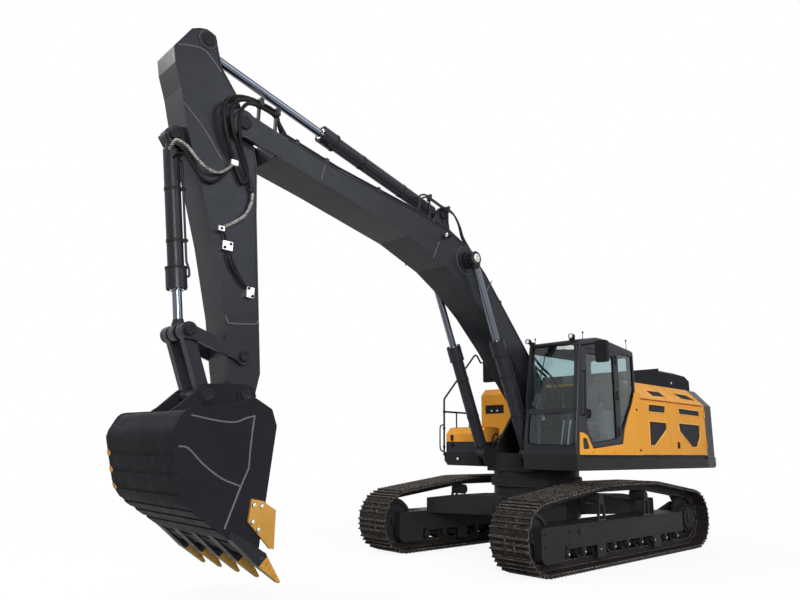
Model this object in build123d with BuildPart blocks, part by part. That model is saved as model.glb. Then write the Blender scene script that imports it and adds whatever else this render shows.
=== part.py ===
from build123d import *
import os
from math import acos, atan2, cos, degrees, hypot, pi, radians, sin, sqrt

# Crawler excavator of the 40 tonne class, with long tracks, a mono boom and a backhoe bucket.
# Millimetres, +X forward, +Y to the machine's left, +Z up, ground at zero.
# Stations are distances forward of the middle of the tracks, heights are above the ground.

os.makedirs("parts", exist_ok=True)

# Place of the machine in its own frame: the origin is under the middle of the overall length and width
MID_TRACK_X = -1700.0
MID_TRACK_Y = -160.0           # the left mirror overhangs by 320 mm
SLEW_STATION = 180.0

# Fits
SEAT = 0.3                     # gap between seated faces of two bodies and round a hinge pin
SIDE_PLAY = 5.0                # side gap between a moving eye and its lugs
PANEL_GAP = 6.0                # gap round a door or a lid

# Hinges of the doors and lids
HINGE_RADIUS = 11.0
HINGE_OUT = 13.0               # the pin's axis stands out from the panel's face by this
HINGE_EDGE = 3.0               # and lies beyond the moving panel's edge by this
LEAF_START = 4.0
LEAF = 40.0
LEAF_PROUD = 9.0
KNUCKLE = 45.0

# Tracks
SHOE_COUNT = 50
SHOE_WIDTH = 600.0
TRACK_GAUGE = 2590.0
GROUSER_HEIGHT = 32.0
SHOE_PLATE = 18.0
PIN_TO_SHOE = 45.0
PIN_TO_RAIL = 45.0
RAIL_CENTRE = 68.0             # rail centre from the chain's centre
RAIL_WIDTH = 42.0
WRAP_PIN_RADIUS = 375.0
IDLER_STATION = 2200.0
SPROCKET_STATION = -2185.0
TRACK_TOP = 1120.0
CARRIER_STATIONS = (620.0, -720.0)
CARRIER_RADIUS = 80.0
CARRIER_BEND = 900.0           # bend of the chain where it passes over a carrier roller
ROLLER_COUNT = 9
ROLLER_PITCH = 400.0
ROLLER_RADIUS = 90.0
ROLLER_WIDTH = 220.0
SPROCKET_TEETH = 21
SPROCKET_ROOT = 322.0
TOOTH_HEIGHT = 52.0
SPROCKET_WIDTH = 60.0

# Track frames
FRAME_INNER = 1085.0           # side faces of a track frame, from the middle of the machine
FRAME_OUTER = 1500.0
FRAME_BOTTOM = 300.0
FRAME_TOP = 600.0
FRAME_REAR = SPROCKET_STATION + SPROCKET_ROOT + TOOTH_HEIGHT + 20.0
FRAME_FRONT = 1640.0
YOKE_FRONT = 2240.0
YOKE_BOTTOM = 150.0
YOKE_SLOT = 190.0
HUB_RADIUS = 225.0

# Car body
PEDESTAL_RADIUS = 690.0
CAR_BOTTOM = 570.0
CAR_TOP = 860.0
LEG_TOP_AT_FRAME = 800.0
PEDESTAL_TOP = 1000.0
SLEW_RING_TOP = 1130.0
SLEW_RING_RADIUS = 735.0

# Revolving frame
HALF_WIDTH = 1490.0
DECK_BOTTOM = 1290.0
DECK_TOP = 1510.0
DECK_PLATE = 40.0
CAB_FRONT = 1300.0
RIGHT_FRONT = 800.0
TAIL = -3550.0
COUNTERWEIGHT_FRONT = -3060.0
HOOD_REAR = -3375.0
HOUSE_TOP = 2710.0
HOOD_AXIS = (HOOD_REAR - 15.0, HOUSE_TOP + 15.0)
HOOD_HINGES = (-300.0, 280.0, 860.0)
BEVEL = 300.0                 # the house side leans in by this much over the same height

# Boom and its foot
BOOM_FOOT = (130.0, 2180.0)
BOOM_TIP = (6100.0, 5200.0)
BOOM_HALF = 300.0
BOOM_PLATE = 22.0
FOOT_PIN = 60.0
TIP_PIN = 55.0
FORK_PLATE = 55.0

# Boom cylinders
CYL_BASE = (1000.0, 1500.0)
CYL_ROD = (2220.0, 4360.0)
CYL_Y = 440.0
CYL_RADIUS = 95.0
CYL_HEAD = 115.0
CYL_BARREL = 1820.0
CYL_ROD_RADIUS = 55.0
CYL_EYE_HALF = 55.0
LUG_PLATE = 32.0
BARREL_START = 150.0           # clear of the lugs round every cylinder's base pin

# Arm
ARM_TOP_PIN = (6580.0, 6100.0)
ARM_HALF = 215.0
ARM_PLATE = 22.0
ARM_CYL_BASE = (2550.0, 5050.0)
ARM_CYL_RADIUS = 98.0
ARM_CYL_HEAD = 120.0
ARM_CYL_BARREL = 2330.0
ARM_CYL_ROD_RADIUS = 55.0
ARM_CYL_EYE_HALF = 70.0

# Bucket linkage
BUCKET_CYL_BASE = (6820.0, 4880.0)
BUCKET_CYL_RADIUS = 87.0
BUCKET_CYL_HEAD = 112.0
BUCKET_CYL_BARREL = 1700.0
BUCKET_CYL_ROD_RADIUS = 51.0
BUCKET_CYL_EYE_HALF = 65.0
LINK_PIN = (5880.0, 2520.0)
LINK_TOP = (6530.0, 2730.0)
BUCKET_LINK_PIN = (6280.0, 2080.0)
BUCKET_PIN = (5840.0, 2100.0)
LINK_PLATE = 36.0
SMALL_PIN = 45.0

# Bucket
BUCKET_HALF = 800.0
BUCKET_PLATE = 32.0
EAR_PLATE = 42.0
TOOTH_COUNT = 5
TOOTH_SPACING = 385.0

# Cab
CAB_REAR = -500.0
CAB_LEFT = HALF_WIDTH
CAB_RIGHT = 575.0
CAB_ROOF = 3265.0
CAB_WALL = 50.0
CAB_DOOR_REAR = 95.0


def side(y=0.0):
    """Upright plane across the machine at y, drawn in stations and heights, seen from the right."""
    return Plane(origin=(MID_TRACK_X, MID_TRACK_Y + y, 0), x_dir=(1, 0, 0), z_dir=(0, -1, 0))


def level(height):
    """Level plane, drawn in stations and y."""
    return Plane(origin=(MID_TRACK_X, MID_TRACK_Y, height), x_dir=(1, 0, 0), z_dir=(0, 0, 1))


def cross(station):
    """Upright plane across the length at a station, drawn in y and heights, facing forward."""
    return Plane(origin=(MID_TRACK_X + station, MID_TRACK_Y, 0), x_dir=(0, 1, 0), z_dir=(1, 0, 0))


def profile(points, width, y=0.0, radii=0.0, mode=Mode.ADD):
    """Side profile given by corner points and their fillets, width wide and centred on y."""
    with BuildSketch(side(y)) as drawn:
        with BuildLine():
            if radii:
                FilletPolyline(*points, radius=radii, close=True)
            else:
                Polyline(*points, close=True)
        make_face()
    extrude(drawn.sketch, amount=width / 2, both=True, mode=mode)


def plan(points, bottom, top, mode=Mode.ADD):
    """Plan outline in stations and y, from the bottom height to the top height."""
    with BuildSketch(level(bottom)) as drawn:
        with BuildLine():
            Polyline(*points, close=True)
        make_face()
    extrude(drawn.sketch, amount=top - bottom, mode=mode)


def section(points, rear, front, mode=Mode.ADD):
    """Cross-section in y and heights, from the rear station to the front one."""
    with BuildSketch(cross(rear)) as drawn:
        with BuildLine():
            Polyline(*points, close=True)
        make_face()
    extrude(drawn.sketch, amount=front - rear, mode=mode)


def block(stations, ys, heights, mode=Mode.ADD):
    """Square block between two stations, two ys and two heights."""
    with BuildSketch(level(heights[0])) as drawn:
        with Locations(((stations[0] + stations[1]) / 2, (ys[0] + ys[1]) / 2)):
            Rectangle(stations[1] - stations[0], ys[1] - ys[0])
    extrude(drawn.sketch, amount=heights[1] - heights[0], mode=mode)


def disc(centre, radius, y_low, y_high, mode=Mode.ADD):
    """Round boss, pin or bore across the machine from y_low to y_high."""
    with BuildSketch(side(y_high)) as drawn:
        with Locations(centre):
            Circle(radius)
    extrude(drawn.sketch, amount=y_high - y_low, mode=mode)


def strut(start, end, y, radius, mode=Mode.ADD):
    """Round bar in a side plane at y, from one point to another."""
    run = (end[0] - start[0], 0, end[1] - start[1])
    base = (MID_TRACK_X + start[0], MID_TRACK_Y + y, start[1])
    with BuildSketch(Plane(origin=base, z_dir=run)) as drawn:
        Circle(radius)
    extrude(drawn.sketch, amount=hypot(run[0], run[2]), mode=mode)


def upright(centre, radius, low, high, mode=Mode.ADD):
    """Round post or hinge barrel standing at a station and y, from one height to another."""
    with BuildSketch(level(low)) as drawn:
        with Locations(centre):
            Circle(radius)
    extrude(drawn.sketch, amount=high - low, mode=mode)


def lengthwise(centre, radius, rear, front, mode=Mode.ADD):
    """Round housing along the machine, centred on a y and height, from one station to another."""
    with BuildSketch(cross(rear)) as drawn:
        with Locations(centre):
            Circle(radius)
    extrude(drawn.sketch, amount=front - rear, mode=mode)


def bent_bar(points, y, radius, bend):
    """Round bar or pipe in a side plane at y, bent to one radius at its corners."""
    with BuildLine(side(y)) as route:
        FilletPolyline(*points, radius=bend)
    with BuildSketch(Plane(origin=route.line @ 0, z_dir=route.line % 0)) as drawn:
        Circle(radius)
    sweep(drawn.sketch, path=route.line)


def knuckles(middle, moving):
    """Ends of a hinge's barrels about their middle: the moving one, or the fixed one at each side of it."""
    half = KNUCKLE / 2
    if moving:
        return [(middle - half, middle + half)]
    near, far = half + SEAT, 3 * half + SEAT
    return [(middle - far, middle - near), (middle + near, middle + far)]


def upright_hinge(station, face, outward, along_panel, heights, moving):
    """Barrels of an upright hinge outside a panel's face, each with its leaf along the panel."""
    leaf = sorted((station + along_panel * LEAF_START, station + along_panel * LEAF))
    for height in heights:
        for low, high in knuckles(height, moving):
            upright((station, face + outward * HINGE_OUT), HINGE_RADIUS, low, high)
            block(leaf, sorted((face - outward, face + outward * LEAF_PROUD)), (low, high))


def level_hinge(axis, leaf, middles, moving):
    """Barrels of a level hinge across the machine, each with a block that reaches to the leaf's corner."""
    for middle in middles:
        for low, high in knuckles(middle, moving):
            disc(axis, HINGE_RADIUS, low, high)
            block(sorted((axis[0], leaf[0])), (low, high), sorted((axis[1], leaf[1])))


def beside(start, end, distance, depth):
    """Point at a distance from start on the line to end, moved by a depth to the left of that line."""
    length = hypot(end[0] - start[0], end[1] - start[1])
    ahead = ((end[0] - start[0]) / length, (end[1] - start[1]) / length)
    return (start[0] + distance * ahead[0] - depth * ahead[1],
            start[1] + distance * ahead[1] + depth * ahead[0])


def along(start, end, distance):
    """Point at a distance from start on the line to end."""
    length = hypot(end[0] - start[0], end[1] - start[1])
    share = distance / length
    return (start[0] + share * (end[0] - start[0]), start[1] + share * (end[1] - start[1]))


# Track chain: pin line round idler, two carrier rollers and sprocket, sampled at every joint
PIN_HEIGHT = GROUSER_HEIGHT + SHOE_PLATE + PIN_TO_SHOE
WHEEL_HEIGHT = PIN_HEIGHT + WRAP_PIN_RADIUS
TOP_PIN_HEIGHT = TRACK_TOP - PIN_HEIGHT
PIN_CIRCLES = [(IDLER_STATION, WHEEL_HEIGHT, WRAP_PIN_RADIUS)]
for carrier_station in CARRIER_STATIONS:
    PIN_CIRCLES.append((carrier_station, TOP_PIN_HEIGHT - CARRIER_BEND, CARRIER_BEND))
PIN_CIRCLES.append((SPROCKET_STATION, WHEEL_HEIGHT, WRAP_PIN_RADIUS))


def pin_line(circles):
    """Runs and arcs of the belt round the circles, as (length, point and heading at a distance)."""
    count = len(circles)
    outward = []
    for index in range(count):
        x0, z0, r0 = circles[index]
        x1, z1, r1 = circles[(index + 1) % count]
        span = hypot(x1 - x0, z1 - z0)
        outward.append(atan2(z1 - z0, x1 - x0) - acos((r0 - r1) / span))
    stretches = []
    for index in range(count):
        x0, z0, r0 = circles[index]
        x1, z1, r1 = circles[(index + 1) % count]
        start_angle = outward[index - 1]
        turn = (outward[index] - start_angle) % (2 * pi)
        stretches.append(("arc", r0 * turn, (x0, z0, r0, start_angle)))
        angle = outward[index]
        run_start = (x0 + r0 * cos(angle), z0 + r0 * sin(angle))
        run_end = (x1 + r1 * cos(angle), z1 + r1 * sin(angle))
        length = hypot(run_end[0] - run_start[0], run_end[1] - run_start[1])
        stretches.append(("run", length, (run_start, run_end)))
    return stretches


def point_on(stretches, distance):
    """Point of the pin line at a distance from its start."""
    for kind, length, data in stretches:
        if distance <= length:
            if kind == "arc":
                x0, z0, r0, start_angle = data
                angle = start_angle + distance / r0
                return (x0 + r0 * cos(angle), z0 + r0 * sin(angle))
            return along(data[0], data[1], distance)
        distance -= length
    return point_on(stretches, 0.0)


CHAIN = pin_line(PIN_CIRCLES)
CHAIN_LENGTH = sum(length for kind, length, data in CHAIN)
SHOE_PITCH = CHAIN_LENGTH / SHOE_COUNT
JOINTS = [point_on(CHAIN, index * SHOE_PITCH) for index in range(SHOE_COUNT)]
CHORD_DIP = SHOE_PITCH ** 2 / 8 / WRAP_PIN_RADIUS
CARRIER_DIP = SHOE_PITCH ** 2 / 8 / CARRIER_BEND
IDLER_RIM = WRAP_PIN_RADIUS - CHORD_DIP - PIN_TO_RAIL - SEAT - 0.5
CARRIER_HEIGHT = TOP_PIN_HEIGHT - CARRIER_DIP - PIN_TO_RAIL - CARRIER_RADIUS - SEAT
RAIL_HEIGHT = PIN_HEIGHT + PIN_TO_RAIL
ROLLER_HEIGHT = RAIL_HEIGHT + ROLLER_RADIUS + SEAT
ROLLER_STATIONS = [(index - (ROLLER_COUNT - 1) / 2) * ROLLER_PITCH for index in range(ROLLER_COUNT)]

# Grouser ridges of one shoe: start and end on the shoe, as shares of its pitch
RIDGES = ((0.05, 0.17), (0.38, 0.50), (0.72, 0.84))
RIDGE_SLOPE = 0.025


def chain_offset(height):
    """Closed polygon of the chain at a height outside its pin line, without the straight joints."""
    points = []
    for index in range(SHOE_COUNT):
        before, here, after = JOINTS[index - 1], JOINTS[index], JOINTS[(index + 1) % SHOE_COUNT]
        heading_in = atan2(here[1] - before[1], here[0] - before[0])
        heading_out = atan2(after[1] - here[1], after[0] - here[0])
        turn = (heading_out - heading_in + pi) % (2 * pi) - pi
        if abs(turn) < radians(0.1):
            continue
        mitre = heading_in + turn / 2
        reach = height / cos(turn / 2)
        points.append((here[0] + reach * sin(mitre), here[1] - reach * cos(mitre)))
    return points


def shoe_outline():
    """Closed polygon of the shoes' outer faces with three grouser ridges on each."""
    points = []
    plate_top = PIN_TO_SHOE + SHOE_PLATE
    for index in range(SHOE_COUNT):
        here, after = JOINTS[index], JOINTS[(index + 1) % SHOE_COUNT]
        pitch = hypot(after[0] - here[0], after[1] - here[1])
        tangent = ((after[0] - here[0]) / pitch, (after[1] - here[1]) / pitch)
        for start, end in RIDGES:
            corners = (
                (start, plate_top),
                (start + RIDGE_SLOPE, plate_top + GROUSER_HEIGHT),
                (end - RIDGE_SLOPE, plate_top + GROUSER_HEIGHT),
                (end, plate_top),
            )
            for share, height in corners:
                run = share * pitch
                points.append((
                    here[0] + run * tangent[0] + height * tangent[1],
                    here[1] + run * tangent[1] - height * tangent[0],
                ))
    return points


SIDES = (("left", 1), ("right", -1))

# Tracks: one closed loop of shoes with the two chain rails fused to it
for side_name, sign in SIDES:
    centre = sign * TRACK_GAUGE / 2
    with BuildPart() as track:
        profile(shoe_outline(), SHOE_WIDTH, centre)
        profile(chain_offset(PIN_TO_SHOE), SHOE_WIDTH, centre, mode=Mode.SUBTRACT)
        for rail_sign in (1, -1):
            rail_y = centre + rail_sign * RAIL_CENTRE
            with BuildSketch(side(rail_y)) as rail:
                with BuildLine():
                    Polyline(*chain_offset(PIN_TO_SHOE + SHOE_PLATE / 2), close=True)
                make_face()
                with BuildLine():
                    Polyline(*chain_offset(-PIN_TO_RAIL), close=True)
                make_face(mode=Mode.SUBTRACT)
            extrude(rail.sketch, amount=RAIL_WIDTH / 2, both=True)
    track.part.label = "track_" + side_name
    export_step(track.part, "parts/track_" + side_name + ".step")

# Track frames: beam with a groove for the rollers, idler yoke, roller brackets and final drive plate
BRACKET_THICKNESS = 50.0
BRACKET_HALF = 44.0
BRACKET_END = 52.0             # round lower end of a roller bracket
CAP_RADIUS = 30.0
CAP_PROUD = 12.0
FLANGE_EDGE = 20.0             # edges of the beam's top and bottom plates
FLANGE_PROUD = 12.0
GUARD_PROUD = 15.0             # the idler guard stands out from the beam
GROOVE_HALF = ROLLER_WIDTH / 2 + 25.0
GROOVE_DEPTH = 45.0
YOKE_REAR = ROLLER_STATIONS[-1] + ROLLER_RADIUS + 30.0
GUARD_STATIONS = (780.0, -880.0)
CARRIER_POST = 62.0
POST_PLATE = 30.0
SLOT_LOW = TRACK_GAUGE / 2 - YOKE_SLOT / 2
SLOT_HIGH = TRACK_GAUGE / 2 + YOKE_SLOT / 2
DRIVE_PLATE = 65.0

for side_name, sign in SIDES:
    def across(low, high):
        """Two ys of this side of the machine, in rising order."""
        return (low, high) if sign > 0 else (-high, -low)

    gauge = TRACK_GAUGE / 2
    with BuildPart() as track_frame:
        block((FRAME_REAR, FRAME_FRONT), across(FRAME_INNER, FRAME_OUTER), (FRAME_BOTTOM, FRAME_TOP))
        groove = (gauge - GROOVE_HALF, gauge + GROOVE_HALF)
        block((FRAME_REAR, FRAME_FRONT), across(*groove), (FRAME_BOTTOM, FRAME_BOTTOM + GROOVE_DEPTH),
              mode=Mode.SUBTRACT)
        for edge_low in (FRAME_TOP - FLANGE_EDGE, FRAME_BOTTOM):
            block((FRAME_REAR + 40, FRAME_FRONT), across(FRAME_OUTER - 1, FRAME_OUTER + FLANGE_PROUD),
                  (edge_low, edge_low + FLANGE_EDGE))
        yoke = [
            (FRAME_FRONT - 20, FRAME_TOP), (YOKE_FRONT, FRAME_TOP), (YOKE_FRONT, YOKE_BOTTOM),
            (YOKE_REAR + 30, YOKE_BOTTOM), (YOKE_REAR, FRAME_BOTTOM + GROOVE_DEPTH),
            (FRAME_FRONT - 20, FRAME_BOTTOM + GROOVE_DEPTH),
        ]
        for low, high in ((FRAME_INNER, SLOT_LOW), (SLOT_HIGH, FRAME_OUTER + GUARD_PROUD)):
            profile(yoke, high - low, sign * (low + high) / 2, radii=[0, 60, 120, 20, 0, 0])
        for station in ROLLER_STATIONS:
            for low in (groove[0] - BRACKET_THICKNESS, groove[1]):
                high = low + BRACKET_THICKNESS
                block((station - BRACKET_HALF, station + BRACKET_HALF), across(low, high),
                      (ROLLER_HEIGHT, FRAME_BOTTOM + 5))
                disc((station, ROLLER_HEIGHT), BRACKET_END, *across(low, high))
            disc((station, ROLLER_HEIGHT), CAP_RADIUS, *across(high - 5, high + CAP_PROUD))
        for station in GUARD_STATIONS:
            for low in (groove[0] - BRACKET_THICKNESS - 20, groove[1] + BRACKET_THICKNESS - 5):
                block((station - 110, station + 110), across(low, low + 25),
                      (RAIL_HEIGHT - 20, FRAME_BOTTOM + 5))
        for station in CARRIER_STATIONS:
            post = [
                (station - 105, FRAME_TOP - 5), (station + 105, FRAME_TOP - 5),
                (station + 55, CARRIER_HEIGHT), (station - 55, CARRIER_HEIGHT),
            ]
            eye = [
                (station - 68, FRAME_TOP + 12), (station + 68, FRAME_TOP + 12),
                (station + 38, CARRIER_HEIGHT - 78), (station - 38, CARRIER_HEIGHT - 78),
            ]
            post_y = gauge + ROLLER_WIDTH / 2 + 10
            profile(post, POST_PLATE, sign * post_y)
            disc((station, CARRIER_HEIGHT), CARRIER_POST, *across(post_y - POST_PLATE / 2,
                 post_y + POST_PLATE / 2))
            profile(eye, POST_PLATE + 10, sign * post_y, radii=32, mode=Mode.SUBTRACT)
        drive_plate = [
            (FRAME_REAR + 30, FRAME_TOP), (FRAME_REAR + 30, FRAME_BOTTOM),
            (SPROCKET_STATION - 60, WHEEL_HEIGHT - 250), (SPROCKET_STATION - 240, WHEEL_HEIGHT - 60),
            (SPROCKET_STATION - 240, WHEEL_HEIGHT + 60), (SPROCKET_STATION - 60, WHEEL_HEIGHT + 250),
        ]
        profile(drive_plate, DRIVE_PLATE, sign * (FRAME_INNER + DRIVE_PLATE / 2))
    track_frame.part.label = "track_frame_" + side_name
    export_step(track_frame.part, "parts/track_frame_" + side_name + ".step")

# Idlers with a centre flange that runs between the rails
IDLER_WIDTH = 176.0
FLANGE_HALF = RAIL_CENTRE - RAIL_WIDTH / 2 - 6.0
with BuildPart() as idlers:
    for side_name, sign in SIDES:
        gauge = sign * TRACK_GAUGE / 2
        centre = (IDLER_STATION, WHEEL_HEIGHT)
        disc(centre, IDLER_RIM, gauge - IDLER_WIDTH / 2, gauge + IDLER_WIDTH / 2)
        disc(centre, IDLER_RIM + 22, gauge - FLANGE_HALF, gauge + FLANGE_HALF)
        for face in (1, -1):
            outer = gauge + face * IDLER_WIDTH / 2
            inner = outer - face * 38
            disc(centre, IDLER_RIM - 55, min(inner, outer), max(inner, outer), mode=Mode.SUBTRACT)
        disc(centre, 95, gauge - YOKE_SLOT / 2, gauge + YOKE_SLOT / 2)
idlers.part.label = "idlers"
export_step(idlers.part, "parts/idlers.step")

# Drive sprockets: a toothed disc bolted round the final drive
with BuildPart() as drive_sprockets:
    for side_name, sign in SIDES:
        gauge = sign * TRACK_GAUGE / 2
        with BuildSketch(side(gauge)) as wheel:
            with Locations((SPROCKET_STATION, WHEEL_HEIGHT)):
                Circle(SPROCKET_ROOT)
                with PolarLocations(SPROCKET_ROOT - 6 + TOOTH_HEIGHT / 2, SPROCKET_TEETH):
                    Trapezoid(62, TOOTH_HEIGHT, 68, rotation=-90)
                Circle(HUB_RADIUS + SEAT, mode=Mode.SUBTRACT)
        extrude(wheel.sketch, amount=SPROCKET_WIDTH / 2, both=True)
drive_sprockets.part.label = "drive_sprockets"
export_step(drive_sprockets.part, "parts/drive_sprockets.step")

# Final drives: travel motor inside the frame plate, planetary hub and cover outside it
HUB_END = 1440.0
with BuildPart() as final_drives:
    for side_name, sign in SIDES:
        steps = (
            (HUB_RADIUS, FRAME_INNER + DRIVE_PLATE, HUB_END - 40),
            (HUB_RADIUS - 45, HUB_END - 40, HUB_END),
        )
        for radius, low, high in steps:
            ends = sorted((sign * low, sign * high))
            disc((SPROCKET_STATION, WHEEL_HEIGHT), radius, ends[0], ends[1])
final_drives.part.label = "final_drives"
export_step(final_drives.part, "parts/final_drives.step")

with BuildPart() as travel_motors:
    for side_name, sign in SIDES:
        ends = sorted((sign * (FRAME_INNER - 110), sign * FRAME_INNER))
        disc((SPROCKET_STATION, WHEEL_HEIGHT), 150, ends[0], ends[1])
travel_motors.part.label = "travel_motors"
export_step(travel_motors.part, "parts/travel_motors.step")

# Lower rollers, journalled between their brackets
with BuildPart() as track_rollers:
    for side_name, sign in SIDES:
        gauge = sign * TRACK_GAUGE / 2
        for station in ROLLER_STATIONS:
            centre = (station, ROLLER_HEIGHT)
            disc(centre, ROLLER_RADIUS, gauge - ROLLER_WIDTH / 2, gauge + ROLLER_WIDTH / 2)
            disc(centre, 40, gauge - GROOVE_HALF, gauge + GROOVE_HALF)
track_rollers.part.label = "track_rollers"
export_step(track_rollers.part, "parts/track_rollers.step")

# Carrier rollers on their posts
with BuildPart() as carrier_rollers:
    for side_name, sign in SIDES:
        gauge = TRACK_GAUGE / 2
        for station in CARRIER_STATIONS:
            ends = sorted((sign * (gauge - ROLLER_WIDTH / 2), sign * (gauge + ROLLER_WIDTH / 2 - 5)))
            disc((station, CARRIER_HEIGHT), CARRIER_RADIUS, ends[0], ends[1])
carrier_rollers.part.label = "carrier_rollers"
export_step(carrier_rollers.part, "parts/carrier_rollers.step")

# Car body: four legs from the pedestal to the track frames, with a tow lug at each end
TOW_REACH = 150.0
TOW_HEIGHT = 690.0
TOW_PLATE = 50.0
TOW_BORE = 32.0
LEG_FRONT = 1650.0
LEG_BACK = 1000.0
CROTCH = 900.0
PEDESTAL_SIDE = 640.0
with BuildPart() as car_body:
    outline = []
    for quarter_x, quarter_y in ((1, 1), (-1, 1), (-1, -1), (1, -1)):
        corner = [
            (SLEW_STATION + quarter_x * CROTCH, 0),
            (quarter_x * LEG_FRONT, quarter_y * FRAME_INNER),
            (quarter_x * LEG_BACK, quarter_y * FRAME_INNER),
            (SLEW_STATION + quarter_x * 420, quarter_y * PEDESTAL_SIDE),
        ]
        outline += corner if quarter_x * quarter_y > 0 else corner[::-1]
    unique = []
    for point in outline:
        if point not in unique:
            unique.append(point)
    plan(unique, CAR_BOTTOM, CAR_TOP)
    for sign in (1, -1):
        slope = [
            (sign * PEDESTAL_RADIUS, CAR_TOP + 10), (sign * PEDESTAL_RADIUS, CAR_TOP),
            (sign * (FRAME_INNER + 10), LEG_TOP_AT_FRAME - 2), (sign * (FRAME_INNER + 10), CAR_TOP + 10),
        ]
        section(slope, -LEG_FRONT - 50, LEG_FRONT + 50, mode=Mode.SUBTRACT)
    with BuildSketch(level(CAR_BOTTOM - 40)) as pedestal:
        with Locations((SLEW_STATION, 0)):
            Circle(PEDESTAL_RADIUS)
    extrude(pedestal.sketch, amount=PEDESTAL_TOP - CAR_BOTTOM + 40)
    for sign in (1, -1):
        root = SLEW_STATION + sign * (CROTCH - 60)
        tip = SLEW_STATION + sign * (CROTCH + TOW_REACH)
        tow_lug = [(root, -80), (tip, -60), (tip, 60), (root, 80)]
        plan(tow_lug, TOW_HEIGHT - TOW_PLATE / 2, TOW_HEIGHT + TOW_PLATE / 2)
        upright((tip - sign * TOW_REACH / 2, 0), TOW_BORE, TOW_HEIGHT - TOW_PLATE, TOW_HEIGHT + TOW_PLATE,
                mode=Mode.SUBTRACT)
car_body.part.label = "car_body"
export_step(car_body.part, "parts/car_body.step")

# Slew ring: the fixed outer race with its bolt flange
with BuildPart() as slew_ring:
    with BuildSketch(level(PEDESTAL_TOP)) as race:
        with Locations((SLEW_STATION, 0)):
            Circle(SLEW_RING_RADIUS)
            Circle(SLEW_RING_RADIUS - 150, mode=Mode.SUBTRACT)
    extrude(race.sketch, amount=SLEW_RING_TOP - PEDESTAL_TOP)
slew_ring.part.label = "slew_ring"
export_step(slew_ring.part, "parts/slew_ring.step")

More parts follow.
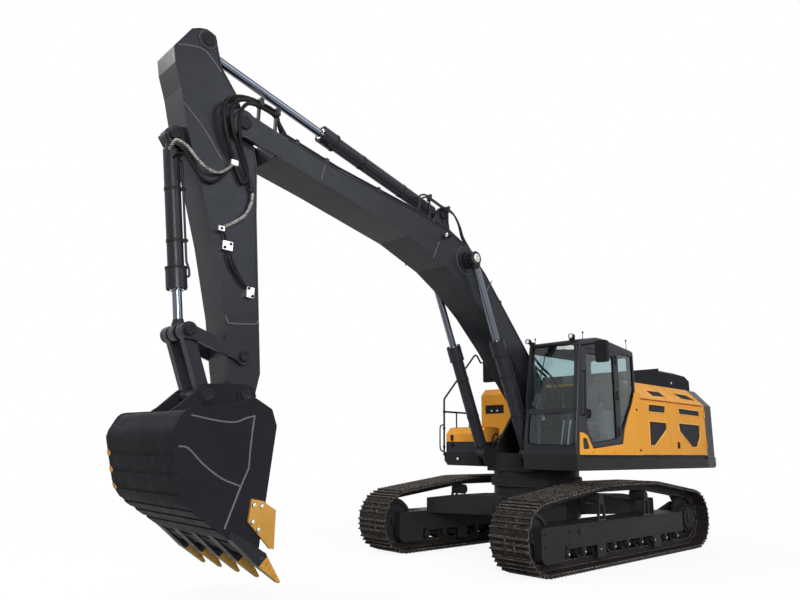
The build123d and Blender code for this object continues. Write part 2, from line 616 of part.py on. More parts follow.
# Revolving frame: deck tray, side rails, turntable flange, boom towers and cylinder lugs
RAIL_THICK = 60.0
DECK_CENTRE_FRONT = 880.0
TOWER_INNER = BOOM_HALF + 10.0
TOWER_PLATE = 45.0
BEAM_TOP = DECK_TOP + 60.0
DECK_CHAMFER = 80.0            # lower corner of the right side
RAIL_GROOVE = 22.0             # shadow groove along the deck's side rails
BELLY_DEPTH = 60.0             # plate under the front of the centre frame
with BuildPart() as revolving_frame:
    deck = [
        (COUNTERWEIGHT_FRONT, -HALF_WIDTH), (RIGHT_FRONT, -HALF_WIDTH), (RIGHT_FRONT, -TOWER_INNER),
        (DECK_CENTRE_FRONT, -TOWER_INNER), (DECK_CENTRE_FRONT, CAB_RIGHT), (CAB_FRONT, CAB_RIGHT),
        (CAB_FRONT, CAB_LEFT), (COUNTERWEIGHT_FRONT, HALF_WIDTH),
    ]
    plan(deck, DECK_BOTTOM, DECK_TOP)
    well = [
        (COUNTERWEIGHT_FRONT + RAIL_THICK, -HALF_WIDTH + RAIL_THICK),
        (RIGHT_FRONT - RAIL_THICK, -HALF_WIDTH + RAIL_THICK),
        (RIGHT_FRONT - RAIL_THICK, -TOWER_INNER - TOWER_PLATE),
        (COUNTERWEIGHT_FRONT + RAIL_THICK, -TOWER_INNER - TOWER_PLATE),
    ]
    plan(well, DECK_BOTTOM + DECK_PLATE, DECK_TOP + 1, mode=Mode.SUBTRACT)
    well_left = [
        (COUNTERWEIGHT_FRONT + RAIL_THICK, TOWER_INNER + TOWER_PLATE),
        (CAB_REAR - RAIL_THICK, TOWER_INNER + TOWER_PLATE),
        (CAB_REAR - RAIL_THICK, HALF_WIDTH - RAIL_THICK),
        (COUNTERWEIGHT_FRONT + RAIL_THICK, HALF_WIDTH - RAIL_THICK),
    ]
    plan(well_left, DECK_BOTTOM + DECK_PLATE, DECK_TOP + 1, mode=Mode.SUBTRACT)
    with BuildSketch(level(SLEW_RING_TOP + SEAT)) as turntable:
        with Locations((SLEW_STATION, 0)):
            Circle(PEDESTAL_RADIUS)
            Circle(PEDESTAL_RADIUS - 160, mode=Mode.SUBTRACT)
    extrude(turntable.sketch, amount=DECK_BOTTOM - SLEW_RING_TOP - SEAT)
    chamfer_corner = [
        (-HALF_WIDTH - 1, DECK_BOTTOM - 1), (-HALF_WIDTH - 1, DECK_BOTTOM + DECK_CHAMFER),
        (-HALF_WIDTH + DECK_CHAMFER, DECK_BOTTOM - 1),
    ]
    section(chamfer_corner, COUNTERWEIGHT_FRONT - 1, RIGHT_FRONT + 1, mode=Mode.SUBTRACT)
    for sign, groove_front in ((1, CAB_FRONT - 120), (-1, RIGHT_FRONT - 120)):
        groove_ys = sorted((sign * (HALF_WIDTH - RAIL_GROOVE), sign * (HALF_WIDTH + 1)))
        block((COUNTERWEIGHT_FRONT - 1, groove_front), groove_ys, (DECK_TOP - 62, DECK_TOP - 18),
              mode=Mode.SUBTRACT)
    block((DECK_CENTRE_FRONT - 500, DECK_CENTRE_FRONT), (-TOWER_INNER - 150, TOWER_INNER + 150),
          (DECK_BOTTOM - BELLY_DEPTH, DECK_BOTTOM + 1))
    tower = [
        (DECK_CENTRE_FRONT, DECK_BOTTOM + 5), (DECK_CENTRE_FRONT, DECK_TOP),
        (BOOM_FOOT[0] + 140, BOOM_FOOT[1] + 60), (BOOM_FOOT[0] + 60, BOOM_FOOT[1] + 150),
        (BOOM_FOOT[0] - 60, BOOM_FOOT[1] + 150), (BOOM_FOOT[0] - 170, BOOM_FOOT[1] + 20),
        (-900, BEAM_TOP), (COUNTERWEIGHT_FRONT, BEAM_TOP), (COUNTERWEIGHT_FRONT, DECK_BOTTOM + 5),
    ]
    lug = [
        (DECK_CENTRE_FRONT - 60, DECK_BOTTOM + 5), (CYL_BASE[0] + 60, DECK_BOTTOM + 30),
        (CYL_BASE[0] + 115, CYL_BASE[1]), (CYL_BASE[0] + 60, CYL_BASE[1] + 115),
        (CYL_BASE[0] - 60, CYL_BASE[1] + 115), (DECK_CENTRE_FRONT - 160, DECK_TOP - 5),
        (DECK_CENTRE_FRONT - 160, DECK_BOTTOM + 5),
    ]
    for sign in (1, -1):
        profile(tower, TOWER_PLATE, sign * (TOWER_INNER + TOWER_PLATE / 2))
        for edge in (CYL_Y - CYL_EYE_HALF - SIDE_PLAY - LUG_PLATE / 2,
                     CYL_Y + CYL_EYE_HALF + SIDE_PLAY + LUG_PLATE / 2):
            profile(lug, LUG_PLATE, sign * edge, radii=12)
        lug_reach = CYL_EYE_HALF + SIDE_PLAY + LUG_PLATE + 12
        ends = sorted((sign * (CYL_Y - lug_reach + 12), sign * (CYL_Y + lug_reach)))
        disc(CYL_BASE, SMALL_PIN, ends[0], ends[1])
    disc(BOOM_FOOT, FOOT_PIN, -TOWER_INNER - TOWER_PLATE - 20, TOWER_INNER + TOWER_PLATE + 20)
revolving_frame.part.label = "revolving_frame"
export_step(revolving_frame.part, "parts/revolving_frame.step")

# Counterweight with a rounded tail, a bumper along its foot and a bevelled top
TAIL_BULGE = 150.0
BUMPER_PROUD = 40.0
BUMPER_TOP = DECK_TOP - 30.0
BUMPER_CHAMFER = 90.0
with BuildPart() as counterweight:
    for inset, bottom, top in ((0, DECK_BOTTOM, BUMPER_TOP), (BUMPER_PROUD, BUMPER_TOP, HOUSE_TOP)):
        corner = TAIL + TAIL_BULGE + inset
        with BuildSketch(level(bottom)) as footprint:
            with BuildLine():
                Polyline((COUNTERWEIGHT_FRONT, HALF_WIDTH), (COUNTERWEIGHT_FRONT, -HALF_WIDTH),
                         (corner, -HALF_WIDTH))
                ThreePointArc((corner, -HALF_WIDTH), (TAIL + inset, 0), (corner, HALF_WIDTH))
                Line((corner, HALF_WIDTH), (COUNTERWEIGHT_FRONT, HALF_WIDTH))
            make_face()
        extrude(footprint.sketch, amount=top - bottom)
    profile([(TAIL - 10, DECK_BOTTOM - 1), (TAIL + TAIL_BULGE + BUMPER_CHAMFER, DECK_BOTTOM - 1),
             (TAIL - 10, DECK_BOTTOM + BUMPER_CHAMFER)], 2 * HALF_WIDTH + 50, mode=Mode.SUBTRACT)
    for sign in (1, -1):
        bevel = [
            (sign * HALF_WIDTH, HOUSE_TOP - BEVEL), (sign * (HALF_WIDTH + 10), HOUSE_TOP - BEVEL),
            (sign * (HALF_WIDTH + 10), HOUSE_TOP + 10), (sign * (HALF_WIDTH - BEVEL - 10), HOUSE_TOP + 10),
        ]
        section(bevel, TAIL - 10, COUNTERWEIGHT_FRONT + 1, mode=Mode.SUBTRACT)
    slope = [(TAIL - 10, HOUSE_TOP - 240), (TAIL - 10, HOUSE_TOP + 10), (HOOD_REAR - 30, HOUSE_TOP + 10)]
    profile(slope, 2 * HALF_WIDTH + 50, mode=Mode.SUBTRACT)
    level_hinge(HOOD_AXIS, (HOOD_AXIS[0] - 20, HOUSE_TOP - 1), HOOD_HINGES, moving=False)
counterweight.part.label = "counterweight"
export_step(counterweight.part, "parts/counterweight.step")

# Engine: one plain block across the rear of the deck
with BuildPart() as engine_block:
    block((-2750, -1750), (-620, 780), (BEAM_TOP, 2350))
engine_block.part.label = "engine_block"
export_step(engine_block.part, "parts/engine_block.step")

# Stations of the machine house
HOUSE_FRONT = -600.0
HOUSE_REAR = COUNTERWEIGHT_FRONT + 6
DOOR_SEAM = -1620.0
DOOR_REAR = -3010.0
DOOR_HINGES = (1700.0, 2250.0)
CAB_DOOR_HINGES = (1850.0, 2400.0, 2950.0)
PANEL = 40.0
HOUSE_RIGHT_FRONT = -1330.0
HOUSE_LINE = HOUSE_TOP - BEVEL
DOOR_TOP = HOUSE_LINE - PANEL / 2
TANK_INNER = -610.0

# House panels: roof, bevelled shoulders, front bulkhead and the fixed side panels round the doors
FAIRING = 14.0
FAIRING_REAR = HOUSE_FRONT - PANEL_GAP + HINGE_EDGE + HINGE_RADIUS + 1
SWOOSH = [
    (FAIRING_REAR, DECK_TOP), (1240, DECK_TOP), (1214, 1822), (1128, 1812), (1026, 1778), (886, 1593),
    (17, 1673), (-56, 1885), (-190, 2105), (-326, 2280), (-431, 2485), (FAIRING_REAR, 2490),
]
SWOOSH_EYE = [(1150, 1750), (1150, 1585), (968, 1592), (1045, 1735)]
# Windows of the left shoulder: stations and distances up the slope
SHOULDER_WINDOWS = (
    [(-1130, 240), (-1670, 240), (-1730, 99), (-1180, 85)],
    [(-2180, 269), (-2790, 255), (-2960, 99), (-2320, 113)],
)
SHOULDER = Plane(origin=(MID_TRACK_X, MID_TRACK_Y + HALF_WIDTH, HOUSE_LINE), x_dir=(1, 0, 0), z_dir=(0, -1, -1))


def shoulder_slab(points, outer, inner, mode=Mode.ADD):
    """Slab drawn on the slope of the left shoulder, between two depths below its face."""
    with BuildSketch(SHOULDER.offset(outer)) as drawn:
        with BuildLine():
            Polyline(*points, close=True)
        make_face()
    extrude(drawn.sketch, amount=inner - outer, mode=mode)


with BuildPart() as house_panels:
    roof = []
    for y, height in ((HALF_WIDTH, HOUSE_LINE), (HALF_WIDTH - BEVEL, HOUSE_TOP),
                      (-HALF_WIDTH + BEVEL, HOUSE_TOP), (-HALF_WIDTH, HOUSE_LINE)):
        roof.append((y, height))
    under = [(y - PANEL if y > 0 else y + PANEL, height - PANEL / 2 if height < HOUSE_TOP else height - PANEL)
             for y, height in roof[::-1]]
    section(roof + under, HOUSE_REAR, HOUSE_FRONT)
    block((HOUSE_RIGHT_FRONT, HOUSE_FRONT + 1), (-HALF_WIDTH - 1, TANK_INNER + PANEL_GAP),
          (DECK_TOP, HOUSE_TOP + 1), mode=Mode.SUBTRACT)
    bulkhead = [(HALF_WIDTH - PANEL, DECK_TOP), (HALF_WIDTH - PANEL, HOUSE_LINE - PANEL),
                (HALF_WIDTH - BEVEL, HOUSE_TOP - PANEL), (420, HOUSE_TOP - PANEL), (420, DECK_TOP)]
    section(bulkhead, HOUSE_FRONT - PANEL, HOUSE_FRONT)
    for sign in (1, -1):
        profile([(DOOR_REAR - SEAT, DECK_TOP), (DOOR_REAR - SEAT, HOUSE_LINE), (HOUSE_REAR, HOUSE_LINE),
                 (HOUSE_REAR, DECK_TOP)], PANEL, sign * (HALF_WIDTH - PANEL / 2))
        upright_hinge(DOOR_REAR - HINGE_EDGE, sign * HALF_WIDTH, sign, -1, DOOR_HINGES, moving=False)
    for window in SHOULDER_WINDOWS:
        shoulder_slab(window, -10, 2 * PANEL, mode=Mode.SUBTRACT)
house_panels.part.label = "house_panels"
export_step(house_panels.part, "parts/house_panels.step")

with BuildPart() as house_grilles:
    for window in SHOULDER_WINDOWS:
        shoulder_slab(window, 12, 24)
house_grilles.part.label = "house_grilles"
export_step(house_grilles.part, "parts/house_grilles.step")

with BuildPart() as side_fairing:
    profile(SWOOSH, FAIRING, CAB_LEFT + FAIRING / 2 + SEAT)
    profile(SWOOSH_EYE, 2 * FAIRING, CAB_LEFT + FAIRING / 2, radii=25, mode=Mode.SUBTRACT)
    upright_hinge(HOUSE_FRONT - PANEL_GAP + HINGE_EDGE, CAB_LEFT, 1, 1, DOOR_HINGES, moving=False)
side_fairing.part.label = "side_fairing"
export_step(side_fairing.part, "parts/side_fairing.step")

# Left side doors with their grilles: outlines of the windows in stations and heights
DOORS = {
    "left_front_door": dict(front=HOUSE_FRONT - PANEL_GAP, rear=DOOR_SEAM + PANEL_GAP / 2, sign=1, windows=(
        [(-900, 2325), (-1480, 2325), (-1460, 2200), (-870, 2200)],
        [(-880, 2050), (-1480, 2045), (-1500, 1940), (-1040, 1665), (-860, 1660)],
    )),
    "left_rear_door": dict(front=DOOR_SEAM - PANEL_GAP / 2, rear=DOOR_REAR, sign=1, windows=(
        [(-1980, 2310), (-2830, 2300), (-2830, 2200), (-2000, 2205)],
        [(-1950, 2055), (-2810, 2045), (-2790, 1830), (-2630, 1650), (-2430, 1650), (-1970, 1920)],
    )),
    "right_door": dict(front=HOUSE_RIGHT_FRONT, rear=DOOR_REAR, sign=-1, windows=(
        [(-1500, 2310), (-2830, 2310), (-2830, 2200), (-1500, 2200)],
        [(-1500, 2050), (-2810, 2050), (-2790, 1830), (-2630, 1650), (-1700, 1650), (-1500, 1850)],
    )),
}
for door_name, door in DOORS.items():
    mid = door["sign"] * (HALF_WIDTH - PANEL / 2)
    with BuildPart() as panel:
        profile([(door["rear"], DECK_TOP + PANEL_GAP), (door["rear"], DOOR_TOP - PANEL_GAP),
                 (door["front"], DOOR_TOP - PANEL_GAP), (door["front"], DECK_TOP + PANEL_GAP)], PANEL, mid)
        for window in door["windows"]:
            profile(window, PANEL + 4, mid, mode=Mode.SUBTRACT)
        hung_in_front = door_name == "left_front_door"
        edge = door["front"] + HINGE_EDGE if hung_in_front else door["rear"] - HINGE_EDGE
        upright_hinge(edge, door["sign"] * HALF_WIDTH, door["sign"], -1 if hung_in_front else 1,
                      DOOR_HINGES, moving=True)
    panel.part.label = door_name
    export_step(panel.part, "parts/" + door_name + ".step")
    with BuildPart() as grille:
        for window in door["windows"]:
            profile(window, 12, mid)
    grille.part.label = door_name + "_grilles"
    export_step(grille.part, "parts/" + door_name + "_grilles.step")

# Engine hood on the roof of the house: level over the engine, sloping down to the front
HOOD_FRONT = -900.0
HOOD_STEP = -2123.0
HOOD_KNEE = -1381.0
HOOD_LEFT = 1120.0
HOOD_RIGHT = -560.0
HOOD_TOP = 3050.0
HOOD_SHEET = 30.0
HOOD_BEVEL = 170.0
HOOD_BEVEL_DROP = 65.0
with BuildPart() as engine_hood:
    hood = [
        (HOOD_REAR, HOUSE_TOP + SEAT), (HOOD_REAR, HOOD_TOP - 144), (HOOD_REAR + 330, HOOD_TOP),
        (HOOD_STEP, HOOD_TOP), (HOOD_KNEE, HOOD_TOP - 102), (HOOD_FRONT, HOOD_TOP - 160),
        (HOOD_FRONT, HOUSE_TOP + SEAT),
    ]
    profile(hood, HOOD_LEFT - HOOD_RIGHT, (HOOD_LEFT + HOOD_RIGHT) / 2)
    block((HOOD_REAR + HOOD_SHEET, HOOD_FRONT - HOOD_SHEET),
          (HOOD_RIGHT + HOOD_SHEET, HOOD_LEFT - HOOD_SHEET), (HOUSE_TOP - 50, HOOD_TOP - 190),
          mode=Mode.SUBTRACT)
    for side_edge, inward in ((HOOD_LEFT, -1), (HOOD_RIGHT, 1)):
        edge = [
            (side_edge - inward * 5, HOOD_TOP - HOOD_BEVEL_DROP), (side_edge - inward * 5, HOOD_TOP + 5),
            (side_edge + inward * HOOD_BEVEL, HOOD_TOP + 5),
        ]
        section(edge, HOOD_REAR - 5, HOOD_STEP, mode=Mode.SUBTRACT)
    level_hinge(HOOD_AXIS, (HOOD_REAR + 1, HOUSE_TOP + 3), HOOD_HINGES, moving=True)
engine_hood.part.label = "engine_hood"
export_step(engine_hood.part, "parts/engine_hood.step")

# Tanks on the right: fuel tank in front of the pump compartment
TANK_FRONT = -200.0
TANK_TOP = 2670.0
TANK_OUTER = -HALF_WIDTH
TANK_EDGE = MID_TRACK_Y + TANK_OUTER
TANK_BAND = ((-1370.0, -940.0), (2210.0, 2370.0))
TANK_BAND_DEPTH = 12.0
with BuildPart() as fuel_tank:
    tank = [
        (HOUSE_RIGHT_FRONT + 8, DECK_TOP), (HOUSE_RIGHT_FRONT + 8, TANK_TOP), (TANK_FRONT - 110, TANK_TOP),
        (TANK_FRONT, TANK_TOP - 110), (TANK_FRONT, DECK_TOP),
    ]
    profile(tank, TANK_INNER - TANK_OUTER, (TANK_INNER + TANK_OUTER) / 2)
    fillet(fuel_tank.edges().filter_by_position(Axis.Y, TANK_EDGE - 1, TANK_EDGE + 1).filter_by_position(
        Axis.Z, DECK_TOP + 200, TANK_TOP + 1).filter_by_position(
        Axis.X, MID_TRACK_X + HOUSE_RIGHT_FRONT + 100, MID_TRACK_X), 45)
    block((TANK_FRONT - TANK_BAND_DEPTH, TANK_FRONT + 5), *TANK_BAND, mode=Mode.SUBTRACT)
fuel_tank.part.label = "fuel_tank"
export_step(fuel_tank.part, "parts/fuel_tank.step")

# Toolbox at the right front corner and its lid
BOX_REAR = 300.0
BOX_FRONT = RIGHT_FRONT - 15
BOX_INNER = -660.0
BOX_SEAM = 1690.0
BOX_TOP = 1930.0
BOX_WALL = 20.0
BOX_OUTER = -HALF_WIDTH + 35
BOX_MIDDLE = (BOX_INNER + BOX_OUTER) / 2
BOX_AXIS = (BOX_REAR - HINGE_OUT, BOX_SEAM)
BOX_HINGES = (BOX_MIDDLE - 250, BOX_MIDDLE + 250)
with BuildPart() as toolbox:
    block((BOX_REAR, BOX_FRONT), (BOX_OUTER, BOX_INNER), (DECK_TOP, BOX_SEAM))
    block((BOX_REAR + BOX_WALL, BOX_FRONT - BOX_WALL), (BOX_OUTER + BOX_WALL, BOX_INNER - BOX_WALL),
          (DECK_TOP + BOX_WALL, BOX_SEAM + 1), mode=Mode.SUBTRACT)
    level_hinge(BOX_AXIS, (BOX_REAR + 1, BOX_SEAM - LEAF), BOX_HINGES, moving=False)
toolbox.part.label = "toolbox"
export_step(toolbox.part, "parts/toolbox.step")

with BuildPart() as toolbox_lid:
    lid = [
        (BOX_REAR, BOX_SEAM + SEAT), (BOX_REAR, BOX_TOP), (BOX_FRONT - 110, BOX_TOP),
        (BOX_FRONT, BOX_TOP - 110), (BOX_FRONT, BOX_SEAM + SEAT),
    ]
    profile(lid, BOX_INNER - BOX_OUTER, BOX_MIDDLE)
    inner_lid = [
        (BOX_REAR + BOX_WALL, BOX_SEAM), (BOX_REAR + BOX_WALL, BOX_TOP - BOX_WALL),
        (BOX_FRONT - 118, BOX_TOP - BOX_WALL), (BOX_FRONT - BOX_WALL, BOX_TOP - 118),
        (BOX_FRONT - BOX_WALL, BOX_SEAM),
    ]
    profile(inner_lid, BOX_INNER - BOX_OUTER - 2 * BOX_WALL, BOX_MIDDLE, mode=Mode.SUBTRACT)
    level_hinge(BOX_AXIS, (BOX_REAR + 1, BOX_SEAM + LEAF), BOX_HINGES, moving=True)
toolbox_lid.part.label = "toolbox_lid"
export_step(toolbox_lid.part, "parts/toolbox_lid.step")

# Cab: side profile of the shell, inner hollow, window and door openings
CAB_MIDDLE = (CAB_LEFT + CAB_RIGHT) / 2
FRONT_SILL = 1700.0            # the front leans back above this height
FRONT_LEAN = 215.0 / 1465.0
ROOF_CREST = 520.0
CAB_SIDE = [
    (CAB_REAR, DECK_TOP), (CAB_FRONT - 5, DECK_TOP), (CAB_FRONT, FRONT_SILL),
    (CAB_FRONT - 215, CAB_ROOF - 100), (ROOF_CREST, CAB_ROOF), (CAB_REAR, CAB_ROOF - 115),
]
CAB_SIDE_RADII = [0, 0, 60, 60, 1200, 60]
CAB_INSIDE = [
    (CAB_REAR + CAB_WALL, DECK_TOP + CAB_WALL), (CAB_FRONT - 55, DECK_TOP + CAB_WALL),
    (CAB_FRONT - 55, FRONT_SILL), (CAB_FRONT - 255, CAB_ROOF - 165), (ROOF_CREST, CAB_ROOF - 60),
    (CAB_REAR + CAB_WALL, CAB_ROOF - 170),
]
CAB_EDGE = 40.0
# Cab door: outline from its rear lower corner round to its rear upper corner
DOOR_OUTLINE = [
    (CAB_DOOR_REAR, 1683), (885, 1605), (1010, 1775), (1070, 1850), (1021, 3037), (CAB_DOOR_REAR, 3070),
]
DOOR_FRAME = 66.0
DOOR_THICK = 44.0
DOOR_MID = CAB_LEFT - 2 - DOOR_THICK / 2
QUARTER_WINDOW = [(25, 3068), (25, 1800), (-40, 1925), (-180, 2120), (-326, 2300), (-436, 2400), (-446, 3060)]
FRONT_WINDOW = [(650, 1650), (CAB_LEFT - CAB_WALL, 1635), (1405, 3105), (640, 3125)]
RIGHT_WINDOW = [(-420, 2000), (1080, 1800), (1000, 3030), (-420, 3050)]
REAR_WINDOW = [(700, 2150), (1370, 2150), (1370, 3060), (700, 3060)]
HATCH = ((150.0, 700.0), (CAB_RIGHT + 170.0, CAB_LEFT - 170.0))
BAR_LOW = 2090.0
BAR_HIGH = 2165.0
PANE_INSET = 26.0


def front_line(height):
    """Station of the cab's leaning front at a height."""
    return CAB_FRONT - FRONT_LEAN * (height - FRONT_SILL)


def moved_outline(points, amount, width, y, mode=Mode.ADD, rear=None):
    """Side profile of an outline moved outward by an amount, cut off behind a rear station."""
    with BuildSketch(side(y)) as drawn:
        with BuildLine():
            Polyline(*points, close=True)
        make_face()
        offset(amount=amount, kind=Kind.INTERSECTION)
        if rear is not None:
            with Locations((rear - CAB_FRONT / 2, CAB_ROOF / 2)):
                Rectangle(CAB_FRONT, 2 * CAB_ROOF, mode=Mode.SUBTRACT)
    extrude(drawn.sketch, amount=width / 2, both=True, mode=mode)


with BuildPart() as cab_shell:
    profile(CAB_SIDE, CAB_LEFT - CAB_RIGHT, CAB_MIDDLE, radii=CAB_SIDE_RADII)
    for face in (CAB_LEFT, CAB_RIGHT):
        outer_edges = cab_shell.edges().filter_by_position(Axis.Y, MID_TRACK_Y + face - 1, MID_TRACK_Y + face + 1)
        fillet(outer_edges.filter_by_position(Axis.Z, DECK_TOP + 50, CAB_ROOF + 1), CAB_EDGE)
    profile(CAB_INSIDE, CAB_LEFT - CAB_RIGHT - 2 * CAB_WALL, CAB_MIDDLE, mode=Mode.SUBTRACT)
    moved_outline(DOOR_OUTLINE, PANEL_GAP, 2 * CAB_WALL + 20, CAB_LEFT, mode=Mode.SUBTRACT,
                  rear=CAB_DOOR_REAR - SEAT)
    profile(QUARTER_WINDOW, 2 * CAB_WALL + 20, CAB_LEFT, mode=Mode.SUBTRACT)
    profile(RIGHT_WINDOW, 2 * CAB_WALL + 20, CAB_RIGHT, mode=Mode.SUBTRACT)
    section(FRONT_WINDOW, 960, CAB_FRONT + 20, mode=Mode.SUBTRACT)
    section(REAR_WINDOW, CAB_REAR - 20, CAB_REAR + CAB_WALL + 20, mode=Mode.SUBTRACT)
    block(*HATCH, (CAB_ROOF - 200, CAB_ROOF + 20), mode=Mode.SUBTRACT)
    windscreen_bar = [
        (front_line(BAR_LOW) - 3, BAR_LOW), (front_line(BAR_HIGH) - 3, BAR_HIGH),
        (front_line(BAR_HIGH) - PANE_INSET + 1, BAR_HIGH), (front_line(BAR_LOW) - PANE_INSET + 1, BAR_LOW),
    ]
    profile(windscreen_bar, CAB_LEFT - CAB_RIGHT - 2 * CAB_WALL + 24, CAB_MIDDLE)
    upright_hinge(CAB_DOOR_REAR - HINGE_EDGE, CAB_LEFT, 1, -1, CAB_DOOR_HINGES, moving=False)
cab_shell.part.label = "cab_shell"
export_step(cab_shell.part, "parts/cab_shell.step")

# Cab glass: a pane in each opening
GLASS = 8.0
with BuildPart() as cab_glass:
    pane_side = []
    for depth in (PANE_INSET, PANE_INSET + GLASS):
        edge = [(front_line(FRONT_SILL) - depth, 1600), (front_line(FRONT_SILL) - depth, FRONT_SILL),
                (front_line(3140) - depth, 3140)]
        pane_side += edge if not pane_side else edge[::-1]
    profile(pane_side, CAB_LEFT - CAB_RIGHT, CAB_MIDDLE)
    section(FRONT_WINDOW, 900, CAB_FRONT + 20, mode=Mode.INTERSECT)
    profile(QUARTER_WINDOW, GLASS, CAB_LEFT - CAB_WALL / 2)
    profile(RIGHT_WINDOW, GLASS, CAB_RIGHT + CAB_WALL / 2)
    section(REAR_WINDOW, CAB_REAR + 20, CAB_REAR + 20 + GLASS)
    block(*HATCH, (CAB_ROOF - 60 - SEAT, CAB_ROOF - 60 - SEAT + GLASS))
cab_glass.part.label = "cab_glass"
export_step(cab_glass.part, "parts/cab_glass.step")

# Cab door: frame and pane
with BuildPart() as cab_door:
    moved_outline(DOOR_OUTLINE, 0, DOOR_THICK, DOOR_MID)
    moved_outline(DOOR_OUTLINE, -DOOR_FRAME, DOOR_THICK + 16, DOOR_MID, mode=Mode.SUBTRACT)
    upright_hinge(CAB_DOOR_REAR - HINGE_EDGE, CAB_LEFT, 1, 1, CAB_DOOR_HINGES, moving=True)
cab_door.part.label = "cab_door"
export_step(cab_door.part, "parts/cab_door.step")

with BuildPart() as cab_door_glass:
    moved_outline(DOOR_OUTLINE, -DOOR_FRAME, GLASS, DOOR_MID)
cab_door_glass.part.label = "cab_door_glass"
export_step(cab_door_glass.part, "parts/cab_door_glass.step")

# Operator's seat and the consoles on the cab floor
FLOOR = DECK_TOP + CAB_WALL
SEAT_Y = 1040.0
with BuildPart() as operator_seat:
    block((-150, 330), (SEAT_Y - 210, SEAT_Y + 210), (FLOOR, FLOOR + 330))
    profile([(-190, FLOOR + 330), (370, FLOOR + 330), (380, FLOOR + 430), (-40, FLOOR + 450),
             (-160, FLOOR + 1080), (-290, FLOOR + 1080)], 500, SEAT_Y)
    profile([(-190, FLOOR + 1075), (-240, FLOOR + 1270), (-310, FLOOR + 1270), (-270, FLOOR + 1075)], 260,
            SEAT_Y)
operator_seat.part.label = "operator_seat"
export_step(operator_seat.part, "parts/operator_seat.step")

with BuildPart() as control_consoles:
    for y in (SEAT_Y - 330, SEAT_Y + 310):
        profile([(-120, FLOOR), (260, FLOOR), (420, FLOOR + 560), (420, FLOOR + 620), (-60, FLOOR + 600)],
                110, y)
    for y in (SEAT_Y - 330, SEAT_Y + 310):
        strut((360, FLOOR + 600), (380, FLOOR + 760), y, 22)
    block((950, 990), (CAB_RIGHT + CAB_WALL, CAB_RIGHT + CAB_WALL + 20), (1640, 2100))
    block((930, 1010), (CAB_RIGHT + CAB_WALL + 18, CAB_RIGHT + CAB_WALL + 80), (2000, 2200))
control_consoles.part.label = "control_consoles"
export_step(control_consoles.part, "parts/control_consoles.step")

# Handrails at the right front corner, with the right mirror's arm
RAIL_RADIUS = 17.0
RAIL_Y = -HALF_WIDTH + 13
RAIL_BEND = 70.0
RAIL_BAR = 2210.0
RAIL_LEG = 130.0
RAIL_TOP = (-70.0, 3345.0)
POST_STATION = RIGHT_FRONT + RAIL_RADIUS + SEAT
MIRROR_ARM = 13.0
MIRROR_RIGHT = ((-240.0, -180.0), (-1400.0, -1130.0), (2800.0, 3240.0))
MIRROR_LEFT = ((1035.0, 1095.0), (1725.0, 1915.0), (2800.0, 3110.0))
MIRROR_LEFT_ROOT = (1040.0, 3085.0)
MIRROR_HANG = (-210.0, 3180.0)
with BuildPart() as handrails:
    bent_bar([(POST_STATION, DECK_TOP - 60), (POST_STATION, 2434), RAIL_TOP, MIRROR_HANG], RAIL_Y,
             RAIL_RADIUS, RAIL_BEND)
    strut((POST_STATION, RAIL_BAR), (RAIL_LEG, RAIL_BAR), RAIL_Y, RAIL_RADIUS)
    strut((RAIL_LEG, DECK_TOP + SEAT), (RAIL_LEG, RAIL_BAR + RAIL_RADIUS), RAIL_Y, RAIL_RADIUS)
    disc(MIRROR_HANG, MIRROR_ARM, RAIL_Y, MIRROR_RIGHT[1][0] - SEAT)
handrails.part.label = "handrails"
export_step(handrails.part, "parts/handrails.step")

# Mirrors: the left one on an arm from the cab's front corner, the right one on the handrail's arm
with BuildPart() as mirrors:
    block(*MIRROR_LEFT)
    block(*MIRROR_RIGHT)
    fillet(mirrors.edges().filter_by(Axis.X), 30)
    disc(MIRROR_LEFT_ROOT, MIRROR_ARM, CAB_LEFT + SEAT, MIRROR_LEFT[1][0] + 20)
mirrors.part.label = "mirrors"
export_step(mirrors.part, "parts/mirrors.step")

# Work lamps: two at the front of the cab roof and one in the right deck's front, as (centre, radius, y)
LAMP_DEPTH = 60.0
ROOF_LAMPS = ((585.0, 645.0), (1360.0, 1300.0))     # y of each lamp and of its bracket's inner edge
ROOF_LAMP_STATION = 1070.0
ROOF_LAMP_HEIGHT = CAB_ROOF - 50.0
DECK_LAMP = (-1144.0, 1402.0)
LAMP_RADIUS = 40.0
with BuildPart() as work_lamps:
    lengthwise(DECK_LAMP, LAMP_RADIUS * 0.7, RIGHT_FRONT + SEAT, RIGHT_FRONT + SEAT + 35)
    for y, inner in ROOF_LAMPS:
        lengthwise((y, ROOF_LAMP_HEIGHT), LAMP_RADIUS, ROOF_LAMP_STATION, ROOF_LAMP_STATION + LAMP_DEPTH)
        block((ROOF_LAMP_STATION - 60, ROOF_LAMP_STATION + 10), sorted((y, inner)),
              (CAB_ROOF - 140, ROOF_LAMP_HEIGHT - 10))
    profile(CAB_SIDE, CAB_LEFT - CAB_RIGHT + 1, CAB_MIDDLE, radii=CAB_SIDE_RADII, mode=Mode.SUBTRACT)
work_lamps.part.label = "work_lamps"
export_step(work_lamps.part, "parts/work_lamps.step")

# Boom: hollow box between two side plates, boxed up to the fork and the foot tube
BOOM_TOP_EDGE = [
    (5600, 5250), (4690, 5062), (3230, 4862), (2620, 4740), (2150, 4530), (1780, 4240), (830, 3215),
    (10, 2300),
]
BOOM_BOTTOM_EDGE = [
    (250, 2060), (1290, 3130), (1800, 3600), (2250, 3930), (2700, 4190), (3450, 4470), (4880, 4790),
    (5640, 4940),
]
FOOT_BOSS = 165.0
TIP_BOSS = 160.0
ROD_BOSS = 130.0
DOUBLER = 215.0
WEB_INSET = 8.0                # the webs stand in from the edges of the top and bottom plates
EDGE_STRIP = 18.0


